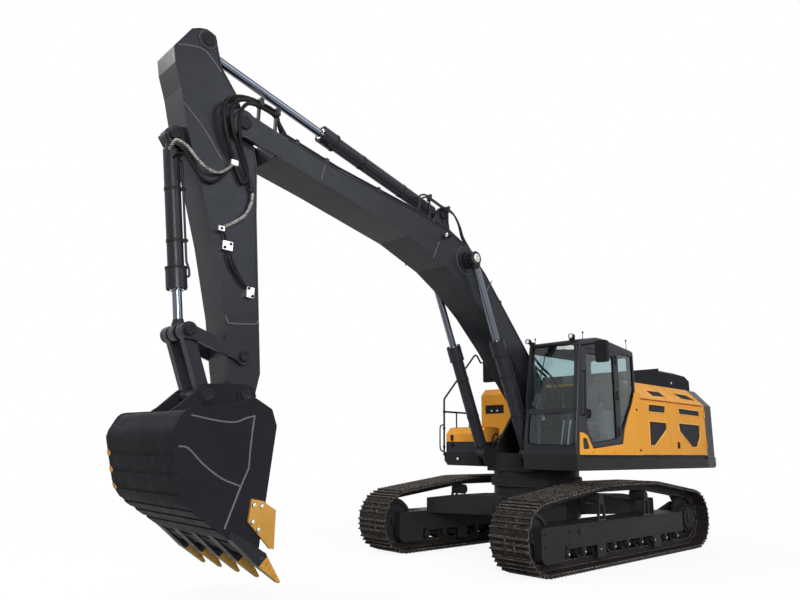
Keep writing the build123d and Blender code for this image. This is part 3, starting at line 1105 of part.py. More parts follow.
def web_recesses(points, half_width):
    """Shallow recess in each side of a box between its top and bottom plates."""
    for sign in (1, -1):
        with BuildSketch(side(sign * half_width)) as drawn:
            with BuildLine():
                Polyline(*points, close=True)
            make_face()
            offset(amount=-EDGE_STRIP, kind=Kind.INTERSECTION)
        extrude(drawn.sketch, amount=WEB_INSET, both=True, mode=Mode.SUBTRACT)


with BuildPart() as boom:
    shell = BOOM_TOP_EDGE + BOOM_BOTTOM_EDGE
    profile(shell, 2 * BOOM_HALF)
    web_recesses(shell, BOOM_HALF)
    with BuildSketch(side(0)) as cavity:
        with BuildLine():
            Polyline(*shell, close=True)
        make_face()
        offset(amount=-BOOM_PLATE, kind=Kind.INTERSECTION)
    extrude(cavity.sketch, amount=BOOM_HALF - WEB_INSET - BOOM_PLATE, both=True, mode=Mode.SUBTRACT)
    disc(BOOM_FOOT, FOOT_BOSS, -BOOM_HALF, BOOM_HALF)
    disc(BOOM_FOOT, FOOT_PIN + SEAT, -BOOM_HALF, BOOM_HALF, mode=Mode.SUBTRACT)
    fork = [
        (5500, 5215), (5500, 4925),
        (BOOM_TIP[0], BOOM_TIP[1] - TIP_BOSS), (BOOM_TIP[0] + 10, BOOM_TIP[1] + TIP_BOSS),
    ]
    for sign in (1, -1):
        plate_mid = sign * (BOOM_HALF - FORK_PLATE / 2)
        profile(fork, FORK_PLATE, plate_mid)
        ends = sorted((sign * (BOOM_HALF - FORK_PLATE), sign * (BOOM_HALF + 12)))
        disc(BOOM_TIP, TIP_BOSS, ends[0], ends[1])
        collar = CYL_Y - CYL_EYE_HALF - SIDE_PLAY
        for radius, reach in ((ROD_BOSS, collar), (DOUBLER, BOOM_HALF + WEB_INSET / 2)):
            ends = sorted((sign * (BOOM_HALF - WEB_INSET - 2), sign * reach))
            disc(CYL_ROD, radius, ends[0], ends[1])
    disc(BOOM_TIP, TIP_PIN, -BOOM_HALF - 30, BOOM_HALF + 30)
    for sign in (1, -1):
        lug_mid = sign * (ARM_CYL_EYE_HALF + SIDE_PLAY + LUG_PLATE / 2)
        profile([(2330, 4600), (2860, 4770), (ARM_CYL_BASE[0] + 110, ARM_CYL_BASE[1] + 60),
                 (ARM_CYL_BASE[0] - 110, ARM_CYL_BASE[1] + 60)], LUG_PLATE, lug_mid)
        ends = sorted((lug_mid - LUG_PLATE / 2, lug_mid + LUG_PLATE / 2))
        disc(ARM_CYL_BASE, 120, ends[0], ends[1])
    disc(ARM_CYL_BASE, SMALL_PIN, -125, 125)
boom.part.label = "boom"
export_step(boom.part, "parts/boom.step")

# Work lamp on the boom's left side
BOOM_LAMP = (2680.0, 4640.0)
with BuildPart() as boom_lamp:
    block((BOOM_LAMP[0] - 15, BOOM_LAMP[0] + 15), (BOOM_HALF - WEB_INSET + SEAT, BOOM_HALF + 60),
          (BOOM_LAMP[1] - 15, BOOM_LAMP[1] + 15))
    lengthwise((BOOM_HALF + 50, BOOM_LAMP[1]), LAMP_RADIUS, BOOM_LAMP[0] - 20, BOOM_LAMP[0] + LAMP_DEPTH - 20)
boom_lamp.part.label = "boom_lamp"
export_step(boom_lamp.part, "parts/boom_lamp.step")

# Oil pipes along the boom's back, held by clamps that stand on its top plate
PIPE_RADIUS = 16.0
PIPE_YS = (170.0, 235.0)
PIPE_BEND = 220.0
CLAMP_HALF = 25.0
PIPE_ROUTE = [
    (5540, 5302), (4690, 5125), (3250, 4925), (2600, 4802), (2100, 4585), (1720, 4245), (1000, 3470),
]
CLAMP_RUNS = ((0, 0.25), (0, 0.8), (1, 0.5), (2, 0.55), (4, 0.5), (5, 0.5))
CLAMP_REACH = 130.0
with BuildPart() as boom_pipes:
    for y in PIPE_YS:
        bent_bar(PIPE_ROUTE, y, PIPE_RADIUS, PIPE_BEND)
    for run, share in CLAMP_RUNS:
        start, end = PIPE_ROUTE[run], PIPE_ROUTE[run + 1]
        middle = share * hypot(end[0] - start[0], end[1] - start[1])
        clamp = [beside(start, end, middle + step, depth)
                 for step, depth in ((-CLAMP_HALF, -PIPE_RADIUS - 8), (CLAMP_HALF, -PIPE_RADIUS - 8),
                                     (CLAMP_HALF, CLAMP_REACH), (-CLAMP_HALF, CLAMP_REACH))]
        profile(clamp, PIPE_YS[1] - PIPE_YS[0] + 2 * PIPE_RADIUS + 12, sum(PIPE_YS) / 2)
    moved_outline(shell, SEAT, 2 * BOOM_HALF, 0, mode=Mode.SUBTRACT)
boom_pipes.part.label = "boom_pipes"
export_step(boom_pipes.part, "parts/boom_pipes.step")


def barrel_and_rod(base, eye, barrel_length, radius, head_radius, rod_radius, y, eye_half, tag, rod_start,
                   eye_radius):
    """One hydraulic cylinder: a bored barrel with its base eye, and a rod with its rod eye."""
    with BuildPart() as barrel:
        strut(along(base, eye, eye_radius * 0.6), along(base, eye, BARREL_START + 20), y, eye_half - 3)
        strut(along(base, eye, BARREL_START), along(base, eye, barrel_length), y, radius)
        strut(along(base, eye, barrel_length - 230), along(base, eye, barrel_length), y, head_radius)
        disc(base, eye_radius, y - eye_half, y + eye_half)
        disc(base, SMALL_PIN + SEAT, y - eye_half, y + eye_half, mode=Mode.SUBTRACT)
        strut(along(base, eye, BARREL_START + 25), along(base, eye, barrel_length - 90), y, radius - 18,
              mode=Mode.SUBTRACT)
        strut(along(base, eye, barrel_length - 100), along(base, eye, barrel_length + 10), y,
              rod_radius + SEAT, mode=Mode.SUBTRACT)
    barrel.part.label = tag + "_barrel"
    export_step(barrel.part, "parts/" + tag + "_barrel.step")
    with BuildPart() as rod:
        strut(along(base, eye, rod_start), eye, y, rod_radius)
        disc(eye, eye_radius, y - eye_half, y + eye_half)
    rod.part.label = tag + "_rod"
    export_step(rod.part, "parts/" + tag + "_rod.step")


for side_name, sign in SIDES:
    barrel_and_rod(CYL_BASE, CYL_ROD, CYL_BARREL, CYL_RADIUS, CYL_HEAD, CYL_ROD_RADIUS, sign * CYL_Y,
                   CYL_EYE_HALF, "boom_cylinder_" + side_name, 1312, 105)
barrel_and_rod(ARM_CYL_BASE, ARM_TOP_PIN, ARM_CYL_BARREL, ARM_CYL_RADIUS, ARM_CYL_HEAD, ARM_CYL_ROD_RADIUS,
               0, ARM_CYL_EYE_HALF, "arm_cylinder", 1650, 105)
barrel_and_rod(BUCKET_CYL_BASE, LINK_TOP, BUCKET_CYL_BARREL, BUCKET_CYL_RADIUS, BUCKET_CYL_HEAD,
               BUCKET_CYL_ROD_RADIUS, 0, BUCKET_CYL_EYE_HALF, "bucket_cylinder", 500, 95)

# Arm: tapered box, open at the top between the cylinder lugs
ARM_REAR_EDGE = [
    (6492, 6192), (6388, 5832), (6185, 5584), (5930, 5080), (5850, 4800), (5810, 4160), (5640, 2350),
]
ARM_FRONT_EDGE = [
    (6030, 2350), (6130, 2950), (6330, 3740), (6560, 4480), (6716, 4900), (6845, 5399), (6936, 5660),
    (6969, 5845), (6783, 6149), (6695, 6199), (6603, 6226),
]
ARM_SLOT = [(6100, 5640), (6400, 6300), (6720, 6300), (6720, 6110), (6600, 5950), (6480, 5560)]
ARM_BOSS = 150.0
ARM_EYE = 105.0
with BuildPart() as arm:
    shell = ARM_REAR_EDGE + ARM_FRONT_EDGE
    profile(shell, 2 * ARM_HALF)
    web_recesses(shell, ARM_HALF)
    with BuildSketch(side(0)) as cavity:
        with BuildLine():
            Polyline(*shell, close=True)
        make_face()
        offset(amount=-ARM_PLATE, kind=Kind.INTERSECTION)
    extrude(cavity.sketch, amount=ARM_HALF - WEB_INSET - ARM_PLATE, both=True, mode=Mode.SUBTRACT)
    profile(ARM_SLOT, 2 * (ARM_HALF - WEB_INSET - ARM_PLATE), mode=Mode.SUBTRACT)
    disc(BOOM_TIP, ARM_BOSS, -BOOM_HALF + FORK_PLATE + SIDE_PLAY, BOOM_HALF - FORK_PLATE - SIDE_PLAY)
    disc(BOOM_TIP, TIP_PIN + SEAT, -BOOM_HALF, BOOM_HALF, mode=Mode.SUBTRACT)
    for sign in (1, -1):
        ends = sorted((sign * (ARM_HALF - WEB_INSET - ARM_PLATE - 12), sign * (ARM_HALF + 14)))
        disc(ARM_TOP_PIN, ARM_EYE, ends[0], ends[1])
        lug_mid = sign * (BUCKET_CYL_EYE_HALF + SIDE_PLAY + LUG_PLATE / 2)
        profile([(6560, 4650), (6640, 5000), (6850, 4985), (6920, 4880), (6850, 4780), (6690, 4745)],
                LUG_PLATE, lug_mid)
    disc(BUCKET_CYL_BASE, SMALL_PIN, -120, 120)
    profile([(5640, 2360), (5700, 2060), (5840, 1965), (5975, 2060), (6030, 2360)], 2 * ARM_HALF)
    disc(LINK_PIN, SMALL_PIN + SEAT, -ARM_HALF, ARM_HALF, mode=Mode.SUBTRACT)
    disc(BUCKET_PIN, SMALL_PIN + SEAT, -ARM_HALF, ARM_HALF, mode=Mode.SUBTRACT)
arm.part.label = "arm"
export_step(arm.part, "parts/arm.step")

# Side links: two plates joined by the pin through the arm, with a stub pin each for the bucket link
LINK_EYE = 92.0
LINK_TUBE = 78.0
LINK_SPREAD = ARM_HALF + SIDE_PLAY + LINK_PLATE / 2
BUCKET_LINK_OUTER = ARM_HALF - 3
BUCKET_LINK_INNER = 118.0


def link_plate(start, end, width, thickness, y):
    """Flat link between two eyes."""
    run = degrees(atan2(end[1] - start[1], end[0] - start[0]))
    length = hypot(end[0] - start[0], end[1] - start[1])
    with BuildSketch(side(y)) as drawn:
        with Locations(start, end):
            Circle(LINK_EYE)
        with Locations(((start[0] + end[0]) / 2, (start[1] + end[1]) / 2)):
            Rectangle(length, width, rotation=run)
    extrude(drawn.sketch, amount=thickness / 2, both=True)


with BuildPart() as side_links:
    for sign in (1, -1):
        link_plate(LINK_PIN, LINK_TOP, 140, LINK_PLATE, sign * LINK_SPREAD)
        ends = sorted((sign * (BUCKET_LINK_INNER + 2), sign * (LINK_SPREAD + LINK_PLATE / 2 + 22)))
        disc(LINK_TOP, SMALL_PIN, ends[0], ends[1])
    disc(LINK_PIN, SMALL_PIN, -LINK_SPREAD - LINK_PLATE / 2 - 22, LINK_SPREAD + LINK_PLATE / 2 + 22)
side_links.part.label = "side_links"
export_step(side_links.part, "parts/side_links.step")

# Bucket link: two plates above, one tube below
with BuildPart() as bucket_link:
    plate_half = (BUCKET_LINK_OUTER - BUCKET_LINK_INNER) / 2
    for sign in (1, -1):
        link_plate(LINK_TOP, BUCKET_LINK_PIN, 130, 2 * plate_half, sign * (BUCKET_LINK_INNER + plate_half))
    disc(BUCKET_LINK_PIN, LINK_TUBE, -BUCKET_LINK_OUTER, BUCKET_LINK_OUTER)
    disc(LINK_TOP, SMALL_PIN + SEAT, -BUCKET_LINK_OUTER, BUCKET_LINK_OUTER, mode=Mode.SUBTRACT)
bucket_link.part.label = "bucket_link"
export_step(bucket_link.part, "parts/bucket_link.step")

# Bucket: curved wrapper between two side plates, ears with the pin for the arm
BUCKET_LIP = (5905.0, 500.0)
BUCKET_HEEL = (6725.0, 1053.0)
BUCKET_THROAT = (5790.0, 1790.0)
BUCKET_SHOULDER = (6010.0, 1985.0)
BUCKET_OUTLINE = [
    BUCKET_LIP, BUCKET_HEEL, (6880, 1680), (6760, 1890), (6300, 1905), BUCKET_SHOULDER, BUCKET_THROAT,
]
BUCKET_RADII = [0, 480, 150, 120, 100, 60, 0]
SIDE_OUTLINE = [
    BUCKET_LIP, BUCKET_HEEL, (6880, 1680), (6760, 1900), (6300, 1945), (6046, 2049), (5826, 1935),
    (5762, 1769),
]
SIDE_RADII = [0, 480, 150, 130, 100, 60, 40, 0]
EAR_INNER = ARM_HALF + SIDE_PLAY
EAR_MID = EAR_INNER + EAR_PLATE / 2
EAR_BOSS = 95.0
EAR_BOSS_PROUD = 14.0
MOUTH_INSET = 60.0
MOUTH_BEYOND = 250.0
with BuildPart() as bucket:
    profile(BUCKET_OUTLINE, 2 * BUCKET_HALF, radii=BUCKET_RADII)
    for sign in (1, -1):
        profile(SIDE_OUTLINE, BUCKET_PLATE, sign * (BUCKET_HALF - BUCKET_PLATE / 2), radii=SIDE_RADII)
    with BuildSketch(side(0)) as hollow:
        with BuildLine():
            FilletPolyline(*BUCKET_OUTLINE, radius=BUCKET_RADII, close=True)
        make_face()
        offset(amount=-BUCKET_PLATE, kind=Kind.INTERSECTION)
        with BuildLine():
            Polyline(beside(BUCKET_LIP, BUCKET_HEEL, MOUTH_INSET, BUCKET_PLATE),
                     beside(BUCKET_LIP, BUCKET_HEEL, -MOUTH_BEYOND, BUCKET_PLATE),
                     beside(BUCKET_THROAT, BUCKET_SHOULDER, -MOUTH_BEYOND, -BUCKET_PLATE),
                     beside(BUCKET_THROAT, BUCKET_SHOULDER, MOUTH_INSET, -BUCKET_PLATE), close=True)
        make_face()
    extrude(hollow.sketch, amount=BUCKET_HALF - BUCKET_PLATE, both=True, mode=Mode.SUBTRACT)
    ear = [
        (5700, 2100), (5740, 2190), (5840, 2225), (6300, 2195), (6390, 2130), (6580, 1955), (6690, 1876),
        (6300, 1889), (6010, 1965), (5830, 1810), (5770, 1960),
    ]
    for sign in (1, -1):
        profile(ear, EAR_PLATE, sign * EAR_MID)
        face = EAR_MID + EAR_PLATE / 2
        for pin in (BUCKET_PIN, BUCKET_LINK_PIN):
            ends = sorted((sign * (face - 2), sign * (face + EAR_BOSS_PROUD)))
            disc(pin, EAR_BOSS, ends[0], ends[1])
    disc(BUCKET_PIN, SMALL_PIN, -EAR_MID - EAR_PLATE / 2 - 22, EAR_MID + EAR_PLATE / 2 + 22)
bucket.part.label = "bucket"
export_step(bucket.part, "parts/bucket.step")

# Teeth in their adapters along the lip: each adapter straddles the lip, each tooth tapers to its edge
TOOTH_ROOT = (5883.0, 510.0)
TOOTH_TIP = (5640.0, 262.0)
ROOT_SIZE = (110.0, 141.0)
TIP_SIZE = (70.0, 22.0)
ADAPTER = [(5822, 548), (5925, 452), (6090, 600), (6250, 735), (6228, 781), (6058, 693)]
ADAPTER_WIDTH = 120.0
with BuildPart() as bucket_teeth:
    ahead = (TOOTH_TIP[0] - TOOTH_ROOT[0], 0, TOOTH_TIP[1] - TOOTH_ROOT[1])
    for index in range(TOOTH_COUNT):
        y = (index - (TOOTH_COUNT - 1) / 2) * TOOTH_SPACING
        profile(ADAPTER, ADAPTER_WIDTH, y)
        sections = []
        for point, size in ((TOOTH_ROOT, ROOT_SIZE), (TOOTH_TIP, TIP_SIZE)):
            base = Plane(origin=(MID_TRACK_X + point[0], MID_TRACK_Y + y, point[1]), x_dir=(0, 1, 0), z_dir=ahead)
            with BuildSketch(base) as drawn:
                Rectangle(*size)
            sections.append(drawn.sketch)
        loft(sections)
    add(bucket.part, mode=Mode.SUBTRACT)
bucket_teeth.part.label = "bucket_teeth"
export_step(bucket_teeth.part, "parts/bucket_teeth.step")

with BuildPart() as side_cutters:
    cutter = [(6018, 1066), (5891, 1041), (5740, 948), (5741, 580), (5789, 590), (6038, 847), (6040, 873)]
    for sign in (1, -1):
        profile(cutter, 28, sign * (BUCKET_HALF + 14 + SEAT))
side_cutters.part.label = "side_cutters"
export_step(side_cutters.part, "parts/side_cutters.step")
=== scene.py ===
"""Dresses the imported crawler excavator: paint, steel, glass, hoses, bolts and trim in a plain studio."""

import logging
import math
from dataclasses import dataclass, field
from enum import Enum
from typing import Callable, Sequence

import bmesh
import bpy
from mathutils import Matrix, Vector


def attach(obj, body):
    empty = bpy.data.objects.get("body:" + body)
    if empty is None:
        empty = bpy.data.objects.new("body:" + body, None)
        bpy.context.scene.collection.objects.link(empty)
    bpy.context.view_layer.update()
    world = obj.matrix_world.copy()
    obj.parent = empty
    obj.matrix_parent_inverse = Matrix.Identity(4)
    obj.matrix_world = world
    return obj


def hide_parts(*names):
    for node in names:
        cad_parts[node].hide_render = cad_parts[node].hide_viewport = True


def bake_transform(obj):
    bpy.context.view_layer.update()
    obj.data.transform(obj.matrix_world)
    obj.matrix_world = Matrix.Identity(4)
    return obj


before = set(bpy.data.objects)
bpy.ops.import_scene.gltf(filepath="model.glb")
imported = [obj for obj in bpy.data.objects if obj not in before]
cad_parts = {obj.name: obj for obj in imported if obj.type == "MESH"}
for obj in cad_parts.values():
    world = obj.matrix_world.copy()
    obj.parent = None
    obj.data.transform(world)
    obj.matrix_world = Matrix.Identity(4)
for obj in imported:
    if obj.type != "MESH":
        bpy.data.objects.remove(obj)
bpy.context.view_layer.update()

LOG = logging.getLogger("excavator")
Point = tuple[float, float, float]
Flat = tuple[float, float]
Colour = tuple[float, float, float]

MID_TRACK_X = -1.7
MID_TRACK_Y = -0.16
AHEAD = Vector((1.0, 0.0, 0.0))
UP = Vector((0.0, 0.0, 1.0))


def at(station: float, y: float, height: float) -> Vector:
    """Point of a station ahead of the tracks' middle, a y from it and a height over the ground."""
    return Vector((MID_TRACK_X + station, MID_TRACK_Y + y, height))


class Side(Enum):
    """The two sides of the machine, by the sign of their y."""

    LEFT = 1
    RIGHT = -1

    @property
    def word(self) -> str:
        """The side's name as pieces and nodes spell it."""
        return self.name.lower()

    @property
    def out(self) -> Vector:
        """Unit vector that leaves the machine on this side."""
        return Vector((0.0, self.value, 0.0))


# Finishes


MATT_SPECULAR = 0.05
FULL_SPECULAR = 0.5


class Nodes:
    """Small helper that adds and links shader nodes of one material."""

    def __init__(self, name: str) -> None:
        """Starts an empty material with a principled shader.

        Args:
            name: Name of the material.
        """
        self.material = bpy.data.materials.new(name)
        self.material.use_nodes = True
        self.tree = self.material.node_tree
        self.shader = self.tree.nodes["Principled BSDF"]
        self.shader.inputs["Specular IOR Level"].default_value = MATT_SPECULAR

    def add(self, kind: str, **settings: object) -> bpy.types.Node:
        """Adds a node and sets its properties and input defaults.

        Args:
            kind: Node type, without its ShaderNode prefix.
            settings: Properties, or input names with spaces written as underscores.

        Returns:
            The new node.
        """
        node = self.tree.nodes.new("ShaderNode" + kind)
        for key, value in settings.items():
            if hasattr(node, key):
                setattr(node, key, value)
            else:
                node.inputs[key.replace("_", " ")].default_value = value
        return node

    def link(self, source: bpy.types.NodeSocket, target: bpy.types.NodeSocket) -> None:
        """Links one socket to another."""
        self.tree.links.new(source, target)

    def feed(self, socket: str, source: bpy.types.NodeSocket) -> None:
        """Links a socket to an input of the principled shader."""
        self.tree.links.new(source, self.shader.inputs[socket])

    def set(self, **values: object) -> None:
        """Sets sockets of the principled shader, with spaces written as underscores."""
        for key, value in values.items():
            self.shader.inputs[key.replace("_", " ")].default_value = value

    def noise(self, scale: float, detail: float = 3.0, rough: float = 0.55) -> bpy.types.NodeSocket:
        """Noise over the object's own coordinates.

        Args:
            scale: Features per metre.
            detail: Octaves.
            rough: Weight of the finer octaves.

        Returns:
            The noise value socket.
        """
        where = self.add("TexCoord")
        noise = self.add("TexNoise", Scale=scale, Detail=detail, Roughness=rough)
        self.link(where.outputs["Object"], noise.inputs["Vector"])
        return noise.outputs["Fac"]

    def ramp(self, value: bpy.types.NodeSocket, low: float, high: float, floor: float = 0.0,
             ceiling: float = 1.0) -> bpy.types.NodeSocket:
        """Stretches a value between two limits.

        Args:
            value: Socket that is stretched.
            low: Value that gives the floor.
            high: Value that gives the ceiling.
            floor: Lowest result.
            ceiling: Highest result.

        Returns:
            The stretched value socket.
        """
        node = self.add("MapRange", clamp=True, From_Min=low, From_Max=high, To_Min=floor, To_Max=ceiling)
        self.link(value, node.inputs["Value"])
        return node.outputs["Result"]

    def blend(self, share: bpy.types.NodeSocket, first: Colour | bpy.types.NodeSocket,
              second: Colour | bpy.types.NodeSocket) -> bpy.types.NodeSocket:
        """Mixes two colours.

        Args:
            share: Share of the second colour.
            first: First colour or socket.
            second: Second colour or socket.

        Returns:
            The mixed colour socket.
        """
        node = self.add("Mix", data_type="RGBA")
        self.link(share, node.inputs["Factor"])
        for socket, colour in ((node.inputs[6], first), (node.inputs[7], second)):
            if isinstance(colour, tuple):
                socket.default_value = (*colour, 1.0)
            else:
                self.link(colour, socket)
        return node.outputs[2]

    def times(self, first: bpy.types.NodeSocket,
              second: bpy.types.NodeSocket | float) -> bpy.types.NodeSocket:
        """Product of two values.

        Args:
            first: First socket.
            second: Second socket or a number.

        Returns:
            The product socket.
        """
        node = self.add("Math", operation="MULTIPLY")
        self.link(first, node.inputs[0])
        if isinstance(second, float):
            node.inputs[1].default_value = second
        else:
            self.link(second, node.inputs[1])
        return node.outputs[0]

    def edge(self, radius: float) -> tuple[bpy.types.NodeSocket, bpy.types.NodeSocket]:
        """Rounded shading normal and a mask of the edges.

        Args:
            radius: Radius of the rounding in metres.

        Returns:
            The normal socket and the mask socket, 1 on sharp edges.
        """
        bevel = self.add("Bevel", samples=4, Radius=radius)
        geometry = self.add("NewGeometry")
        dot = self.add("VectorMath", operation="DOT_PRODUCT")
        self.link(bevel.outputs[0], dot.inputs[0])
        self.link(geometry.outputs["Normal"], dot.inputs[1])
        return bevel.outputs[0], self.ramp(dot.outputs["Value"], 0.99, 0.86)

    def upward(self) -> bpy.types.NodeSocket:
        """How much the surface faces up.

        Returns:
            The socket, from 0 to 1.
        """
        geometry = self.add("NewGeometry")
        split = self.add("SeparateXYZ")
        self.link(geometry.outputs["Normal"], split.inputs[0])
        return self.ramp(split.outputs["Z"], 0.2, 0.95)

    def bump(self, height: bpy.types.NodeSocket, strength: float, distance: float,
             normal: bpy.types.NodeSocket | None = None) -> bpy.types.NodeSocket:
        """Bump from a height.

        Args:
            height: Height socket.
            strength: Strength of the bump.
            distance: Real height of the bump in metres.
            normal: Normal that the bump starts from.

        Returns:
            The bumped normal socket.
        """
        node = self.add("Bump", Strength=strength, Distance=distance)
        self.link(height, node.inputs["Height"])
        if normal:
            self.link(normal, node.inputs["Normal"])
        return node.outputs["Normal"]


@dataclass(frozen=True)
class Paint:
    """Sprayed paint with orange peel, a little dust on top faces, and edges in a lighter worn colour: partly
    rubbed paint, partly a painted edge highlight.
    """

    name: str
    colour: Colour
    roughness: float = 0.36
    tone: float = 0.12
    dust: float = 0.10
    wear: float = 0.35
    worn: Colour = (0.16, 0.16, 0.17)
    edge_radius: float = 0.006
    dust_colour: Colour = (0.22, 0.20, 0.18)
    coat: float = 0.0
    specular: float = MATT_SPECULAR

    def material(self) -> bpy.types.Material:
        """Builds the paint's material.

        Returns:
            The material.
        """
        nodes = Nodes(self.name)
        patches = nodes.ramp(nodes.noise(1.6, 4.0), 0.35, 0.65)
        shade = tuple(channel * (1.0 - self.tone) for channel in self.colour)
        base = nodes.blend(patches, shade, self.colour)
        dusty = nodes.times(
            nodes.times(nodes.upward(), nodes.ramp(nodes.noise(5.0, 5.0), 0.42, 0.7)), self.dust)
        base = nodes.blend(dusty, base, self.dust_colour)
        # Edges take the worn colour: partly rubbed paint, partly a painted highlight where rounded edges
        # catch the light.
        normal, edge = nodes.edge(self.edge_radius)
        scuffs = nodes.ramp(nodes.noise(38.0, 4.0, 0.7), 0.46, 0.62)
        rubbed = nodes.times(nodes.times(edge, scuffs), self.wear)
        base = nodes.blend(rubbed, base, self.worn)
        nodes.feed("Base Color", base)
        gloss = nodes.ramp(nodes.noise(9.0, 5.0), 0.3, 0.7, self.roughness - 0.05, self.roughness + 0.09)
        nodes.feed("Roughness", gloss)
        peel = nodes.bump(nodes.noise(420.0, 2.0), 0.12, 0.0004, normal)
        nodes.feed("Normal", peel)
        nodes.set(Coat_Weight=self.coat, Coat_Roughness=0.18, Specular_IOR_Level=self.specular)
        return nodes.material


@dataclass(frozen=True)
class ToothPaint:
    """Charcoal adapter and bronze tip of a tooth, divided across its length."""

    name: str
    body: Colour = (0.021, 0.022, 0.027)
    tip: Colour = (0.52, 0.27, 0.05)
    root: Flat = (5.883, 0.510)
    end: Flat = (5.640, 0.262)
    share: float = 0.13
    roughness: float = 0.38

    def material(self) -> bpy.types.Material:
        """Builds the tooth's material.

        Returns:
            The material.
        """
        nodes = Nodes(self.name)
        where = nodes.add("TexCoord")
        start, stop = at(self.root[0], 0.0, self.root[1]), at(self.end[0], 0.0, self.end[1])
        along = (stop - start).normalized()
        reach = nodes.add("VectorMath", operation="DOT_PRODUCT")
        nodes.link(where.outputs["Object"], reach.inputs[0])
        reach.inputs[1].default_value = along
        limit = start.dot(along) + self.share * (stop - start).length
        tip = nodes.ramp(reach.outputs["Value"], limit - 0.003, limit + 0.003)
        scale = nodes.ramp(nodes.noise(30.0, 5.0, 0.6), 0.4, 0.68)
        dark = tuple(channel * 0.62 for channel in self.tip)
        normal, edge = nodes.edge(0.008)
        # The tip's edges take a lighter bronze: partly wear, partly a painted edge highlight.
        rubbed = nodes.times(edge, nodes.ramp(nodes.noise(30.0, 4.0), 0.42, 0.6))
        worn = nodes.blend(rubbed, nodes.blend(scale, self.tip, dark), (0.85, 0.62, 0.30))
        nodes.feed("Base Color", nodes.blend(tip, self.body, worn))
        nodes.feed("Roughness",
                   nodes.ramp(nodes.noise(14.0), 0.3, 0.7, self.roughness - 0.05, self.roughness + 0.1))
        nodes.feed("Normal", nodes.bump(nodes.noise(120.0, 4.0), 0.2, 0.001, normal))
        return nodes.material


@dataclass(frozen=True)
class BareSteel:
    """Rolled or cast steel with mill scale, packed soil low down and bright worn edges."""

    name: str
    colour: Colour = (0.035, 0.032, 0.030)
    soil: Colour = (0.075, 0.055, 0.038)
    bright: Colour = (0.42, 0.36, 0.30)
    soil_share: float = 0.55
    wear: float = 0.85
    roughness: float = 0.5
    metal: float = 0.55

    def material(self) -> bpy.types.Material:
        """Builds the steel's material.

        Returns:
            The material.
        """
        nodes = Nodes(self.name)
        scale = nodes.ramp(nodes.noise(14.0, 6.0, 0.65), 0.35, 0.7)
        soiled = nodes.times(nodes.ramp(nodes.noise(6.0, 6.0, 0.7), 0.42, 0.66), self.soil_share)
        lighter = tuple(channel * 1.7 for channel in self.colour)
        base = nodes.blend(soiled, nodes.blend(scale, self.colour, lighter), self.soil)
        normal, edge = nodes.edge(0.008)
        rubbed = nodes.times(nodes.times(edge, nodes.ramp(nodes.noise(24.0, 4.0), 0.36, 0.58)), self.wear)
        base = nodes.blend(rubbed, base, self.bright)
        nodes.feed("Base Color", base)
        rough = nodes.ramp(nodes.noise(20.0, 5.0), 0.3, 0.7, self.roughness - 0.12, self.roughness + 0.18)
        nodes.feed("Roughness", rough)
        nodes.feed("Normal", nodes.bump(nodes.noise(90.0, 5.0, 0.7), 0.35, 0.0018, normal))
        nodes.set(Metallic=self.metal)
        return nodes.material


@dataclass(frozen=True)
class Moulded:
    """Moulded plastic or rubber with a fine grain."""

    name: str
    colour: Colour
    roughness: float = 0.55
    grain: float = 260.0
    grain_height: float = 0.0006
    sheen: float = 0.0

    def material(self) -> bpy.types.Material:
        """Builds the moulding's material.

        Returns:
            The material.
        """
        nodes = Nodes(self.name)
        faded = tuple(min(1.0, channel * 1.5 + 0.004) for channel in self.colour)
        base = nodes.blend(nodes.ramp(nodes.noise(3.0, 4.0), 0.4, 0.75), self.colour, faded)
        nodes.feed("Base Color", base)
        rough = nodes.ramp(nodes.noise(30.0, 4.0), 0.3, 0.7, self.roughness - 0.06, self.roughness + 0.1)
        nodes.feed("Roughness", rough)
        normal, _ = nodes.edge(0.002)
        nodes.feed("Normal", nodes.bump(nodes.noise(self.grain, 3.0), 0.3, self.grain_height, normal))
        nodes.set(Sheen_Weight=self.sheen)
        return nodes.material


@dataclass(frozen=True)
class Polished:
    """Ground and chromed rod steel with faint turning marks."""

    name: str
    colour: Colour = (0.80, 0.81, 0.83)
    roughness: float = 0.14

    def material(self) -> bpy.types.Material:
        """Builds the rod's material.

        Returns:
            The material.
        """
        nodes = Nodes(self.name)
        oil = nodes.ramp(nodes.noise(4.0, 4.0), 0.45, 0.75)
        smeared = tuple(channel * 0.82 for channel in self.colour)
        nodes.feed("Base Color", nodes.blend(oil, self.colour, smeared))
        rough = nodes.ramp(nodes.noise(60.0, 3.0), 0.3, 0.7, self.roughness - 0.05, self.roughness + 0.06)
        nodes.feed("Roughness", rough)
        nodes.feed("Normal", nodes.bump(nodes.noise(700.0, 2.0), 0.05, 0.0002))
        nodes.set(Metallic=1.0)
        return nodes.material


@dataclass(frozen=True)
class Pane:
    """Tinted safety glass with a film of dust."""

    name: str
    tint: Colour = (0.54, 0.66, 0.68)
    film: float = 0.10

    def material(self) -> bpy.types.Material:
        """Builds the pane's material.

        Returns:
            The material.
        """
        nodes = Nodes(self.name)
        film = nodes.ramp(nodes.noise(2.4, 5.0, 0.6), 0.4, 0.85, 0.0, self.film)
        nodes.feed("Base Color", nodes.blend(film, self.tint, (0.5, 0.52, 0.5)))
        nodes.feed("Roughness", nodes.ramp(nodes.noise(8.0, 4.0), 0.45, 0.9, 0.0, 0.06))
        nodes.set(Transmission_Weight=1.0, IOR=1.38, Specular_IOR_Level=FULL_SPECULAR)
        return nodes.material


